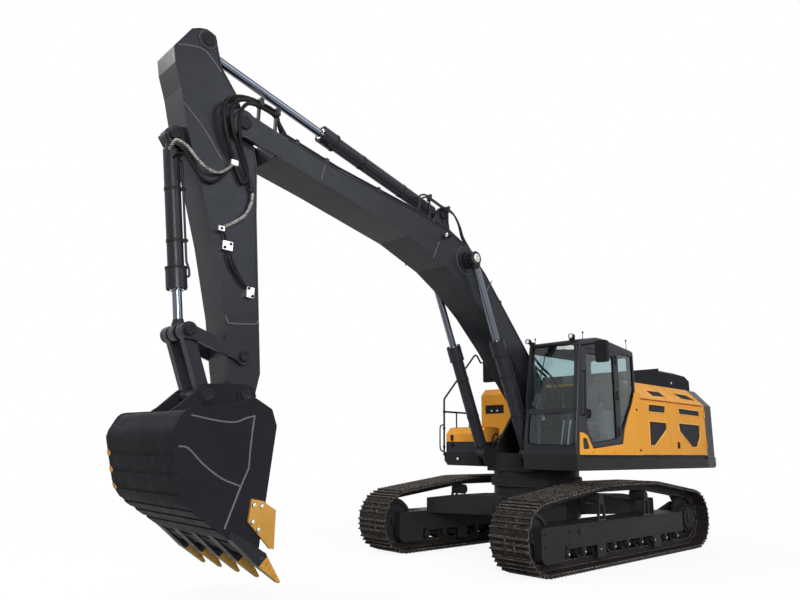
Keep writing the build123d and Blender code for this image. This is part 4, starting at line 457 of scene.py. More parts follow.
@dataclass(frozen=True)
class Mesh:
    """Black punched sheet behind the side windows, with rows of small holes in near black: painted shade of
    the space behind.
    """

    name: str
    colour: Colour = (0.012, 0.012, 0.014)
    pitch: float = 0.012

    def material(self) -> bpy.types.Material:
        """Builds the punched sheet's material.

        Returns:
            The material.
        """
        nodes = Nodes(self.name)
        where = nodes.add("TexCoord")
        holes = nodes.add("TexVoronoi", Scale=1.0 / self.pitch, Randomness=0.0)
        nodes.link(where.outputs["Object"], holes.inputs["Vector"])
        open_share = nodes.ramp(holes.outputs["Distance"], 0.26, 0.34)
        lit = tuple(channel * 2.2 for channel in self.colour)
        # The holes are near black: painted shade of the dark space behind the sheet.
        nodes.feed("Base Color", nodes.blend(open_share, (0.002, 0.002, 0.002), lit))
        nodes.feed("Normal", nodes.bump(open_share, 0.7, 0.003))
        nodes.feed("Roughness", nodes.ramp(nodes.noise(12.0), 0.3, 0.7, 0.45, 0.65))
        return nodes.material


@dataclass(frozen=True)
class Cloth:
    """Woven seat cloth."""

    name: str
    colour: Colour = (0.018, 0.018, 0.020)
    thread: float = 0.0035

    def material(self) -> bpy.types.Material:
        """Builds the cloth's material.

        Returns:
            The material.
        """
        nodes = Nodes(self.name)
        where = nodes.add("TexCoord")
        heights = []
        for axis in ("X", "Z"):
            wave = nodes.add("TexWave", bands_direction=axis, Scale=0.32 / self.thread, Distortion=0.4)
            nodes.link(where.outputs["Object"], wave.inputs["Vector"])
            heights.append(wave.outputs["Fac"])
        weave = nodes.times(heights[0], heights[1])
        pale = tuple(channel * 2.6 for channel in self.colour)
        nodes.feed("Base Color", nodes.blend(weave, self.colour, pale))
        nodes.feed("Normal", nodes.bump(weave, 0.5, 0.001))
        nodes.feed("Roughness", nodes.ramp(nodes.noise(5.0), 0.3, 0.7, 0.78, 0.92))
        nodes.set(Sheen_Weight=0.35, Sheen_Roughness=0.5)
        return nodes.material


@dataclass(frozen=True)
class Lens:
    """Clear or coloured lamp lens over a bright reflector, with a faint painted glow; the lamp itself is not
    lit.
    """

    name: str
    colour: Colour = (0.86, 0.88, 0.9)
    painted_glow: float = 0.25

    def material(self) -> bpy.types.Material:
        """Builds the lens's material.

        Returns:
            The material.
        """
        nodes = Nodes(self.name)
        where = nodes.add("TexCoord")
        cells = nodes.add("TexVoronoi", Scale=60.0)
        nodes.link(where.outputs["Object"], cells.inputs["Vector"])
        dim = tuple(channel * 0.55 for channel in self.colour)
        nodes.feed("Base Color",
                   nodes.blend(nodes.ramp(cells.outputs["Distance"], 0.1, 0.6), self.colour, dim))
        nodes.feed("Normal", nodes.bump(cells.outputs["Distance"], 0.4, 0.002))
        nodes.set(Roughness=0.12, Metallic=0.3, Coat_Weight=0.8, Coat_Roughness=0.03)
        # The faint emission is a painted shine; no light is lit in the lamp.
        nodes.set(Emission_Color=(*self.colour, 1.0), Emission_Strength=self.painted_glow)
        return nodes.material


@dataclass(frozen=True)
class SpiralGuard:
    """Hose in its spiral guard, pale on the crests."""

    name: str
    colour: Colour = (0.10, 0.095, 0.09)
    crest: Colour = (0.55, 0.53, 0.50)
    pitch: float = 0.016

    def material(self) -> bpy.types.Material:
        """Builds the guard's material.

        Returns:
            The material.
        """
        nodes = Nodes(self.name)
        where = nodes.add("TexCoord")
        coil = nodes.add("TexWave", bands_direction="Z", Scale=0.32 / self.pitch, Distortion=0.6)
        nodes.link(where.outputs["Object"], coil.inputs["Vector"])
        crests = nodes.times(
            nodes.ramp(coil.outputs["Fac"], 0.45, 0.8), nodes.ramp(nodes.noise(18.0), 0.3, 0.6))
        nodes.feed("Base Color", nodes.blend(crests, self.colour, self.crest))
        nodes.feed("Normal", nodes.bump(coil.outputs["Fac"], 0.6, 0.004))
        nodes.feed("Roughness", nodes.ramp(nodes.noise(30.0), 0.3, 0.7, 0.3, 0.45))
        nodes.set(Metallic=0.3)
        return nodes.material


@dataclass(frozen=True)
class TreadPlate:
    """Black foothold sheet with rows of raised, pierced buttons."""

    name: str
    colour: Colour = (0.02, 0.02, 0.022)
    pitch: float = 0.036

    def material(self) -> bpy.types.Material:
        """Builds the foothold's material.

        Returns:
            The material.
        """
        nodes = Nodes(self.name)
        where = nodes.add("TexCoord")
        buttons = nodes.add("TexVoronoi", Scale=1.0 / self.pitch, Randomness=0.0)
        nodes.link(where.outputs["Object"], buttons.inputs["Vector"])
        raised = nodes.ramp(buttons.outputs["Distance"], 0.40, 0.26)
        pierced = nodes.ramp(buttons.outputs["Distance"], 0.10, 0.16)
        worn = nodes.times(raised, nodes.ramp(nodes.noise(9.0, 5.0), 0.4, 0.65))
        nodes.feed("Base Color", nodes.blend(worn, self.colour, (0.20, 0.20, 0.21)))
        nodes.feed("Normal", nodes.bump(nodes.times(raised, pierced), 0.9, 0.005))
        nodes.set(Roughness=0.45, Metallic=0.4)
        return nodes.material


class Finishes:
    """Every finish of the machine, built once."""

    def __init__(self) -> None:
        """Builds the materials."""
        # Amber paint whose edges take a lighter amber: a painted edge highlight.
        self.amber = Paint(
            "amber_paint", (0.80, 0.350, 0.045), 0.34, 0.07, 0.06, 0.5, (0.95, 0.62, 0.24)).material()
        self.charcoal = Paint("charcoal_paint", (0.018, 0.0195, 0.0255), 0.34, 0.2, 0.02, 0.6,
                              (0.13, 0.13, 0.145), coat=0.04, specular=0.14).material()
        self.worn = Paint("worn_charcoal", (0.017, 0.0175, 0.022), 0.5, 0.2, 0.02, 0.6,
                          (0.13, 0.13, 0.145), specular=0.02).material()
        self.chassis = Paint(
            "chassis_paint", (0.022, 0.022, 0.025), 0.40, 0.2, 0.08, 0.6, (0.10, 0.10, 0.105)).material()
        self.shoe = BareSteel("track_steel", (0.015, 0.014, 0.014), (0.030, 0.023, 0.017),
                              (0.46, 0.40, 0.34), 0.4, 0.9, metal=0.1).material()
        self.forged = BareSteel("forged_steel", (0.022, 0.021, 0.022), soil_share=0.2, wear=0.45).material()
        # Weld beads in a grey far lighter than the charcoal round them, with lighter edges still: a painted
        # highlight along the seams.
        self.weld = Paint(
            "weld_painted_highlight", (0.12, 0.12, 0.135), 0.26, 0.2, 0.0, 0.6, (0.30, 0.30, 0.33)).material()
        # Bronze paint whose edges take a lighter bronze: a painted edge highlight.
        self.bronze = Paint(
            "bronze_paint", (0.50, 0.27, 0.06), 0.42, 0.25, 0.10, 0.7, (0.80, 0.55, 0.25)).material()
        self.tooth = ToothPaint("tooth_paint").material()
        # Lips in an amber lighter than the panels round them, with lighter edges still: a painted highlight
        # on the raised lips.
        self.lip = Paint("amber_lip_painted_highlight", (0.96, 0.52, 0.14), 0.30, 0.05, 0.0, 0.6, (0.98, 0.70, 0.35)).material()
        self.rubber = Moulded("black_rubber", (0.010, 0.010, 0.011), 0.34, 190.0).material()
        self.plastic = Moulded("black_plastic", (0.012, 0.012, 0.014), 0.42).material()
        self.grey_plastic = Moulded("grey_plastic", (0.10, 0.10, 0.105), 0.5).material()
        # Rod chrome darkened and tinted blue far below real chrome: a painted dark reflection of the
        # surroundings.
        self.chrome = Polished("chromed_rod_painted_shade", (0.13, 0.145, 0.175), 0.13).material()
        self.zinc = Polished("zinc_plate", (0.62, 0.61, 0.58), 0.3).material()
        self.glass = Pane("cab_glass_tint").material()
        self.mesh = Mesh("punched_sheet").material()
        self.cloth = Cloth("seat_cloth", (0.045, 0.046, 0.05)).material()
        self.lens = Lens("lamp_lens").material()
        self.guard = SpiralGuard("spiral_guard").material()
        self.tread = TreadPlate("foothold_sheet").material()
        self.mirror = Polished("mirror_glass", (0.86, 0.88, 0.9), 0.03).material()


# Geometry


CIRCLE_POINTS = 40


def clipped(low: Flat, high: Flat, cut: float) -> list[Flat]:
    """Corners of a rectangle with its four corners cut off.

    Args:
        low: Lowest corner.
        high: Highest corner.
        cut: Width of a cut.

    Returns:
        The eight corners in order.
    """
    (x0, y0), (x1, y1) = low, high
    return [(x0 + cut, y0), (x1 - cut, y0), (x1, y0 + cut), (x1, y1 - cut), (x1 - cut, y1), (x0 + cut, y1),
            (x0, y1 - cut), (x0, y0 + cut)]


def circle(station: float, y: float, height: float, radius: float) -> list[Vector]:
    """Points of an upright circle that faces across the machine.

    Args:
        station: Station of its centre.
        y: Its y.
        height: Height of its centre.
        radius: Its radius.

    Returns:
        The points in order.
    """
    turns = (2.0 * math.pi * index / CIRCLE_POINTS for index in range(CIRCLE_POINTS))
    return [at(station + radius * math.cos(turn), y, height + radius * math.sin(turn)) for turn in turns]


class Shaper:
    """Collects the joined geometry of one piece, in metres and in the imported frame's axes."""

    def __init__(self) -> None:
        """Starts with no geometry."""
        self.mesh = bmesh.new()

    def loops(self, rings: Sequence[Sequence[Vector]], closed: bool = False) -> "Shaper":
        """Skins rings of equal length.

        Args:
            rings: Rings of points, each in the same order.
            closed: Whether the last ring joins the first, or else both ends are capped.

        Returns:
            This shaper.
        """
        rows = [[self.mesh.verts.new(point) for point in ring] for ring in rings]
        pairs = list(zip(rows, rows[1:]))
        if closed:
            pairs.append((rows[-1], rows[0]))
        for first, second in pairs:
            for index in range(len(first)):
                after = (index + 1) % len(first)
                self.mesh.faces.new((first[index], first[after], second[after], second[index]))
        if not closed:
            self.mesh.faces.new(rows[0][::-1])
            self.mesh.faces.new(rows[-1])
        return self

    def prism(self, outline: Sequence[Vector], push: Vector) -> "Shaper":
        """Pushes a flat outline along a vector.

        Args:
            outline: Corner points in order.
            push: Vector from the first face to the second.

        Returns:
            This shaper.
        """
        return self.loops([list(outline), [point + push for point in outline]])

    def box(self, low: Vector, high: Vector, chamfer: float = 0.0) -> "Shaper":
        """Box between two corners with chamfered upright and level edges.

        Args:
            low: Lowest corner.
            high: Highest corner.
            chamfer: Width of the chamfer.

        Returns:
            This shaper.
        """
        rings = []
        for z, inset in ((low.z, chamfer), (low.z + chamfer, 0.0), (high.z - chamfer, 0.0),
                         (high.z, chamfer)):
            corners = clipped((low.x + inset, low.y + inset), (high.x - inset, high.y - inset), chamfer)
            rings.append([Vector((x, y, z)) for x, y in corners])
        return self.loops(rings)

    def turned(self, centre: Vector, axis: Vector, profile: Sequence[Flat], sides: int = 32,
               hollow: bool = False) -> "Shaper":
        """Turned form about an axis.

        Args:
            centre: Point on the axis where distances start.
            axis: Direction of the axis.
            profile: Distance along the axis and radius, from one end to the other.
            sides: Sides of the circle.
            hollow: Whether the profile closes on itself as a ring.

        Returns:
            This shaper.
        """
        along = axis.normalized()
        across = along.orthogonal().normalized()
        third = along.cross(across)
        rings = []
        for distance, radius in profile:
            ring = []
            for index in range(sides):
                angle = 2.0 * math.pi * index / sides
                ring.append(
                    centre + along * distance + radius * (across * math.cos(angle) + third * math.sin(angle)))
            rings.append(ring)
        return self.loops(rings, closed=hollow)

    def bolt(self, centre: Vector, axis: Vector, radius: float, height: float) -> "Shaper":
        """Hexagon head on a washer.

        Args:
            centre: Middle of the seat.
            axis: Direction that the head faces.
            radius: Radius over the corners.
            height: Height of the head.

        Returns:
            This shaper.
        """
        washer = 0.18 * height
        self.turned(centre, axis, ((0.0, 1.25 * radius), (washer, 1.25 * radius)), 12)
        top = washer + height
        return self.turned(
            centre, axis, ((washer, radius), (top - 0.12 * height, radius), (top, 0.86 * radius)), 6)

    def tube(self, path: Sequence[Vector], radius: float, sides: int = 14, closed: bool = False) -> "Shaper":
        """Round tube that follows a path without twisting.

        Args:
            path: Points of the centre line.
            radius: Radius of the tube.
            sides: Sides of the circle.
            closed: Whether the path is a loop.

        Returns:
            This shaper.
        """
        count = len(path)
        rings = []
        across = None
        for index, point in enumerate(path):
            before = path[index - 1] if index or closed else point
            after = path[(index + 1) % count] if index < count - 1 or closed else point
            along = (after - before).normalized()
            if across is None:
                across = along.orthogonal().normalized()
            across = (across - along * across.dot(along)).normalized()
            third = along.cross(across)
            turn = 2.0 * math.pi / sides
            rings.append([point + radius * (
                across * math.cos(turn * step) + third * math.sin(turn * step)) for step in range(sides)])
        return self.loops(rings, closed)

    def place(self, name: str, material: bpy.types.Material, body: str | None,
              smooth: float = 35.0) -> bpy.types.Object:
        """Makes the piece, dresses it and puts it on its body.

        Args:
            name: Name of the piece.
            material: Its finish.
            body: Body that carries it, or None for a piece, such as a hose between two bodies, that no body
                carries.
            smooth: Angle in degrees under which faces shade smooth.

        Returns:
            The new object.
        """
        bmesh.ops.recalc_face_normals(self.mesh, faces=self.mesh.faces)
        for face in self.mesh.faces:
            face.smooth = True
        for edge in self.mesh.edges:
            if len(edge.link_faces) != 2 or edge.calc_face_angle(0.0) > math.radians(smooth):
                edge.smooth = False
        data = bpy.data.meshes.new(name)
        self.mesh.to_mesh(data)
        self.mesh.free()
        data.materials.append(material)
        piece = bpy.data.objects.new(name, data)
        bpy.context.scene.collection.objects.link(piece)
        if body:
            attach(piece, body)
        LOG.info("%s: %d faces on %s", name, len(data.polygons), body)
        return piece


def rounded(points: Sequence[Vector], radius: float, steps: int = 6) -> list[Vector]:
    """Path through points with its corners rounded.

    Args:
        points: Corner points, ends included.
        radius: Distance from a corner at which its curve starts.
        steps: Points on each curve.

    Returns:
        The rounded path.
    """
    path = [points[0]]
    for before, corner, after in zip(points, points[1:], points[2:]):
        reach_in = min(radius, 0.45 * (corner - before).length)
        reach_out = min(radius, 0.45 * (after - corner).length)
        start = corner + (before - corner).normalized() * reach_in
        end = corner + (after - corner).normalized() * reach_out
        for step in range(steps + 1):
            share = step / steps
            path.append(start.lerp(corner, share).lerp(corner.lerp(end, share), share))
    path.append(points[-1])
    return path


def smooth(points: Sequence[Point], steps: int = 6) -> list[Vector]:
    """Smooth path through stations, ys and heights.

    Args:
        points: Station, y and height of each point that the path passes.
        steps: Points on each stretch.

    Returns:
        The path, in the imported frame's axes.
    """
    knots = [at(*point) for point in points]
    knots = [2.0 * knots[0] - knots[1], *knots, 2.0 * knots[-1] - knots[-2]]
    path = []
    for before, start, end, after in zip(knots, knots[1:], knots[2:], knots[3:]):
        for step in range(steps):
            t = step / steps
            square = 2.0 * before - 5.0 * start + 4.0 * end - after
            cube = 3.0 * start - before - 3.0 * end + after
            path.append(0.5 * (2.0 * start + (end - before) * t + square * t ** 2 + cube * t ** 3))
    path.append(knots[-2])
    return path


def bolt_ring(shaper: Shaper, centre: Vector, axis: Vector, ring: float, count: int, radius: float,
              height: float) -> None:
    """Ring of bolts about an axis.

    Args:
        shaper: Shaper that takes the bolts.
        centre: Middle of the ring, on the seat.
        axis: Direction that the heads face.
        ring: Radius of the ring.
        count: Number of bolts.
        radius: Radius of a head over its corners.
        height: Height of a head.
    """
    across = axis.orthogonal().normalized()
    third = axis.normalized().cross(across)
    for index in range(count):
        angle = 2.0 * math.pi * (index + 0.5) / count
        place = centre + ring * (across * math.cos(angle) + third * math.sin(angle))
        shaper.bolt(place, axis, radius, height)


# Sub-assemblies


@dataclass
class Assembly:
    """A sub-assembly and the finishes that it takes."""

    finishes: Finishes


@dataclass
class Tracks(Assembly):
    """Shoe bolts of both tracks, and the bolted covers of their frames and drives."""

    gauge_half: float = 1.295
    idler: tuple[float, float, float] = (2.2, 0.47, 0.375)
    sprocket: tuple[float, float, float] = (-2.185, 0.47, 0.375)
    carrier_stations: Flat = (0.62, -0.72)
    carrier_bend: float = 0.9
    top_pin_height: float = 1.025
    shoes: int = 50
    plate_lift: float = 0.063
    bolt_shares: Flat = (0.275, 0.61)
    rail_offset: float = 0.068
    frame_face: float = 1.5
    roller_height: float = 0.2303
    roller_pitch: float = 0.4
    rollers: int = 9
    cap_face: float = 1.492

    def joints(self) -> list[Flat]:
        """Places of the chain's pins round idler, carrier rollers and sprocket.

        Returns:
            Station and height of each pin.
        """
        bend_height = self.top_pin_height - self.carrier_bend
        bends = [(station, bend_height, self.carrier_bend) for station in self.carrier_stations]
        circles = [self.idler, *bends, self.sprocket]
        count = len(circles)
        outward = []
        for index, (x0, z0, r0) in enumerate(circles):
            x1, z1, r1 = circles[(index + 1) % count]
            outward.append(math.atan2(z1 - z0, x1 - x0) - math.acos((r0 - r1) / math.hypot(x1 - x0, z1 - z0)))
        line: list[tuple[float, Callable[[float], Flat]]] = []
        for index, (x0, z0, r0) in enumerate(circles):
            x1, z1, r1 = circles[(index + 1) % count]
            first, last = outward[index - 1], outward[index]
            turn = (last - first) % (2.0 * math.pi)
            line.append((r0 * turn, lambda run, x=x0, z=z0, r=r0, a=first: (
                x + r * math.cos(a + run / r), z + r * math.sin(a + run / r))))
            start = Vector((x0 + r0 * math.cos(last), z0 + r0 * math.sin(last)))
            end = Vector((x1 + r1 * math.cos(last), z1 + r1 * math.sin(last)))
            length = (end - start).length
            line.append((length, lambda run, s=start, e=end, n=length: tuple(s.lerp(e, run / n))))
        pitch = sum(length for length, _ in line) / self.shoes
        places = []
        for index in range(self.shoes):
            run = index * pitch
            for length, place in line:
                if run <= length:
                    places.append(place(run))
                    break
                run -= length
        return places

    def shoe_bolts(self, side: Side) -> None:
        """Four bolts through each shoe of one track.

        Args:
            side: Side of the track.
        """
        shaper = Shaper()
        places = self.joints()
        for here, after in zip(places, places[1:] + places[:1]):
            pitch = math.hypot(after[0] - here[0], after[1] - here[1])
            ahead = ((after[0] - here[0]) / pitch, (after[1] - here[1]) / pitch)
            out = Vector((ahead[1], 0.0, -ahead[0]))
            for share in self.bolt_shares:
                for offset in (-self.rail_offset, self.rail_offset):
                    y = side.value * self.gauge_half + offset
                    seat = at(here[0] + share * pitch * ahead[0], y, here[1] + share * pitch * ahead[1])
                    shaper.bolt(seat + out * self.plate_lift, out, 0.017, 0.012)
        shaper.place("shoe_bolts_" + side.word, self.finishes.shoe, "undercarriage")

    def covers(self, side: Side) -> None:
        """Hub bolts, roller caps, adjuster cover and its slot, a black piece of painted shade, on one track
        frame.

        Args:
            side: Side of the track.
        """
        out = side.out
        face = side.value * self.frame_face
        hub = Shaper()
        station, height, _ = self.sprocket
        bolt_ring(hub, at(station, side.value * 1.44, height), out, 0.148, 10, 0.014, 0.012)
        bolt_ring(hub, at(station, side.value * 1.40, height), out, 0.203, 20, 0.011, 0.010)
        hub.turned(at(station, side.value * 1.44, height), out, ((0.0, 0.085), (0.012, 0.085), (0.02, 0.07)),
                   28)
        hub.place("hub_bolts_" + side.word, self.finishes.chassis, "undercarriage")
        caps = Shaper()
        for index in range(self.rollers):
            place = at((index - self.rollers // 2) * self.roller_pitch, side.value * self.cap_face,
                       self.roller_height)
            caps.turned(place, out, ((0.0, 0.014), (0.006, 0.014), (0.009, 0.008)), 14)
        caps.place("roller_plugs_" + side.word, self.finishes.zinc, "undercarriage")
        cover = Shaper()
        cover.turned(at(1.314, face, 0.505), out, ((-0.004, 0.052), (0.010, 0.052), (0.014, 0.046)), 28)
        bolt_ring(cover, at(1.314, face + side.value * 0.012, 0.505), out, 0.036, 4, 0.008, 0.006)
        for station in (1.60, 2.16):
            for level in (0.36, 0.52):
                cover.bolt(at(station, side.value * 1.515, level), out, 0.016, 0.014)
        cover.place("adjuster_cover_" + side.word, self.finishes.chassis, "undercarriage")
        # A thin black rubber piece in the slot's outline: painted shade of the open slot.
        slot = Shaper()
        outline = [at(0.66 + dx, face - side.value * 0.002, z) for dx, z in (
            (-0.013, 0.425), (0.0, 0.418), (0.013, 0.425), (0.013, 0.505), (0.0, 0.512), (-0.013, 0.505))]
        slot.prism(outline, out * 0.0045)
        slot.place("adjuster_slot_shade_" + side.word, self.finishes.rubber, "undercarriage")

    def weld_lines(self, side: Side) -> None:
        """Beads where the car body's legs and the guard meet the frame.

        Args:
            side: Side of the track.
        """
        shaper = Shaper()
        face = side.value * (self.frame_face + 0.001)
        shaper.tube([at(1.64, face, 0.33), at(1.64, face, 0.58)], 0.006, 8)
        for station in self.carrier_stations:
            y = side.value * (self.gauge_half + 0.135)
            shaper.tube([at(station - 0.105, y, 0.601), at(station + 0.105, y, 0.601)], 0.006, 8)
        shaper.place("frame_welds_" + side.word, self.finishes.weld, "undercarriage")

    def build(self) -> None:
        """Builds the dressing of both tracks."""
        for side in Side:
            self.shoe_bolts(side)
            self.covers(side)
            self.weld_lines(side)


@dataclass
class Deck(Assembly):
    """Turntable bolts, footholds, lenses, mirror faces, latches, rail fittings and the tank's fittings."""

    slew_station: float = 0.18
    ring_radius: float = 0.735
    ring_top: float = 1.13
    slew_bolts: int = 44
    deck_top: float = 1.51
    box_front: float = 0.785
    box_top: float = 1.93
    latch_ys: Flat = (-1.31, -0.742)
    tank_top: float = 2.67
    band_face: float = -0.212
    lamps: dict[str, tuple[str, Point, float]] = field(default_factory=lambda: {
        "roof_lens_right": ("upperstructure", (1.13, 0.585, 3.215), 0.040),
        "roof_lens_left": ("upperstructure", (1.13, 1.36, 3.215), 0.040),
        "deck_lens": ("upperstructure", (0.8353, -1.144, 1.402), 0.028),
        "boom_lens": ("boom", (2.72, 0.35, 4.64), 0.040),
    })

    def turntable(self) -> None:
        """Bolts on the slew ring's top and round its rim."""
        shaper = Shaper()
        bolt_ring(shaper, at(self.slew_station, 0.0, self.ring_top), UP, 0.713, self.slew_bolts, 0.013, 0.016)
        for index in range(self.slew_bolts):
            angle = 2.0 * math.pi * index / self.slew_bolts
            out = Vector((math.cos(angle), math.sin(angle), 0.0))
            shaper.bolt(at(self.slew_station, 0.0, 1.055) + out * (self.ring_radius - 0.001), out, 0.013,
                        0.012)
        shaper.place("slew_bolts", self.finishes.chassis, "undercarriage")

    def footholds(self) -> None:
        """Foothold sheets on the tank, the walkway and the tool box lid."""
        sheets = {
            "tank_foothold": ("upperstructure", (-1.24, -0.42), (-1.40, -0.70), self.tank_top),
            "walkway_foothold": ("upperstructure", (-0.19, 0.275), (-1.465, -0.37), self.deck_top),
            "lid_foothold": ("toolbox_lid", (0.33, 0.655), (-1.42, -0.69), self.box_top),
            "roof_foothold": ("upperstructure", (-0.86, -0.62), (0.50, 1.10), 2.71),
        }
        for name, (body, stations, ys, height) in sheets.items():
            shaper = Shaper()
            shaper.box(at(stations[0], ys[0], height + 0.0005), at(stations[1], ys[1], height + 0.0075),
                       0.002)
            shaper.place(name, self.finishes.tread, body)

    def lens_set(self) -> None:
        """Lens and bezel of every lamp."""
        for name, (body, place, radius) in self.lamps.items():
            shaper = Shaper()
            profile = ((-0.001, 0.82 * radius), (0.004, 0.82 * radius), (0.009, 0.6 * radius),
                       (0.011, 0.3 * radius))
            shaper.turned(at(*place), AHEAD, profile, 28)
            shaper.place(name, self.finishes.lens, body)
            bezel = Shaper()
            ring = [at(*place) + Vector((0.002, 0.92 * radius * math.cos(a), 0.92 * radius * math.sin(a)))
                    for a in (2.0 * math.pi * index / 28 for index in range(28))]
            bezel.tube(ring, 0.08 * radius + 0.002, 8, closed=True)
            bezel.place(name.replace("lens", "bezel"), self.finishes.plastic, body)

    def mirror_faces(self) -> None:
        """Silvered faces and rims at the back of both mirrors."""
        mirrors = {"mirror_face_left": (1.035, (1.725, 1.915), (2.8, 3.11)),
                   "mirror_face_right": (-0.24, (-1.40, -1.13), (2.8, 3.24))}
        for name, (station, ys, heights) in mirrors.items():
            inset = 0.014
            corners = clipped((ys[0] + inset, heights[0] + inset), (ys[1] - inset, heights[1] - inset), 0.02)
            face = Shaper()
            face.prism([at(station - 0.0015, y, z) for y, z in corners], Vector((0.003, 0.0, 0.0)))
            face.place(name, self.finishes.mirror, "upperstructure")
            rim = Shaper()
            rim.tube([at(station - 0.001, y, z) for y, z in corners], 0.005, 8, closed=True)
            rim.place(name.replace("face", "rim"), self.finishes.rubber, "upperstructure")

    def latches(self) -> None:
        """Rubber latches of the tool box: the strap on the lid, its catch on the box."""
        for index, y in enumerate(self.latch_ys):
            strap = Shaper()
            outline = [(self.box_front - 0.002, 1.81), (self.box_front + 0.022, 1.80),
                       (self.box_front + 0.026, 1.77),
                       (self.box_front + 0.016, 1.71), (self.box_front - 0.002, 1.70)]
            strap.prism([at(x, y - 0.022, z) for x, z in outline], Vector((0.0, 0.044, 0.0)))
            strap.place(f"latch_strap_{index}", self.finishes.rubber, "toolbox_lid")
            catch = Shaper()
            outline = [(self.box_front - 0.002, 1.685), (self.box_front + 0.018, 1.68),
                       (self.box_front + 0.024, 1.625),
                       (self.box_front + 0.012, 1.60), (self.box_front - 0.002, 1.60)]
            catch.prism([at(x, y - 0.028, z) for x, z in outline], Vector((0.0, 0.056, 0.0)))
            catch.bolt(at(self.box_front + 0.016, y, 1.615), AHEAD, 0.009, 0.006)
            catch.place(f"latch_catch_{index}", self.finishes.rubber, "upperstructure")

    def rails(self) -> None:
        """Loop handle beside the front post, the short rail post, the posts' feet and the collars."""
        shaper = Shaper()
        loop = [at(0.8173, -1.477, 1.98), at(0.8173, -1.555, 1.975), at(0.8173, -1.578, 1.93),
                at(0.8173, -1.578, 1.60), at(0.8173, -1.555, 1.53), at(0.8173, -1.477, 1.52)]
        shaper.tube(rounded(loop, 0.04), 0.012, 12)
        shaper.tube([at(0.49, -1.477, 1.50), at(0.49, -1.477, 2.205)], 0.013, 12)
        for station in (0.13, 0.49):
            shaper.turned(
                at(station, -1.477, self.deck_top), UP, ((-0.002, 0.036), (0.008, 0.036), (0.012, 0.026)), 18)
        for height in (1.60, 1.92, 2.21):
            shaper.turned(at(0.8173, -1.477, height - 0.02), UP, ((0.0, 0.0235), (0.04, 0.0235)), 18)
        shaper.place("rail_fittings", self.finishes.plastic, "upperstructure")

    def tank(self) -> None:
        """Filler cap, sight plate in the tank's front band, and its bolts."""
        cap = Shaper()
        cap.turned(at(-0.345, -1.0, self.tank_top), UP,
                   ((-0.002, 0.060), (0.018, 0.060), (0.020, 0.052), (0.052, 0.050), (0.060, 0.036)), 36)
        cap.place("filler_cap", self.finishes.plastic, "upperstructure")
        plate = Shaper()
        plate.box(at(self.band_face, -1.365, 2.215), at(self.band_face + 0.006, -0.945, 2.365), 0.002)
        plate.place("tank_band", self.finishes.plastic, "upperstructure")
        bolts = Shaper()
        for y in (-1.22, -1.09):
            bolts.bolt(at(self.band_face + 0.006, y, 2.265), AHEAD, 0.014, 0.010)
        bolts.place("tank_band_bolts", self.finishes.zinc, "upperstructure")

    def build(self) -> None:
        """Builds the dressing of the deck."""
        self.turntable()
        self.footholds()
        self.lens_set()
        self.mirror_faces()
        self.latches()
        self.rails()
        self.tank()


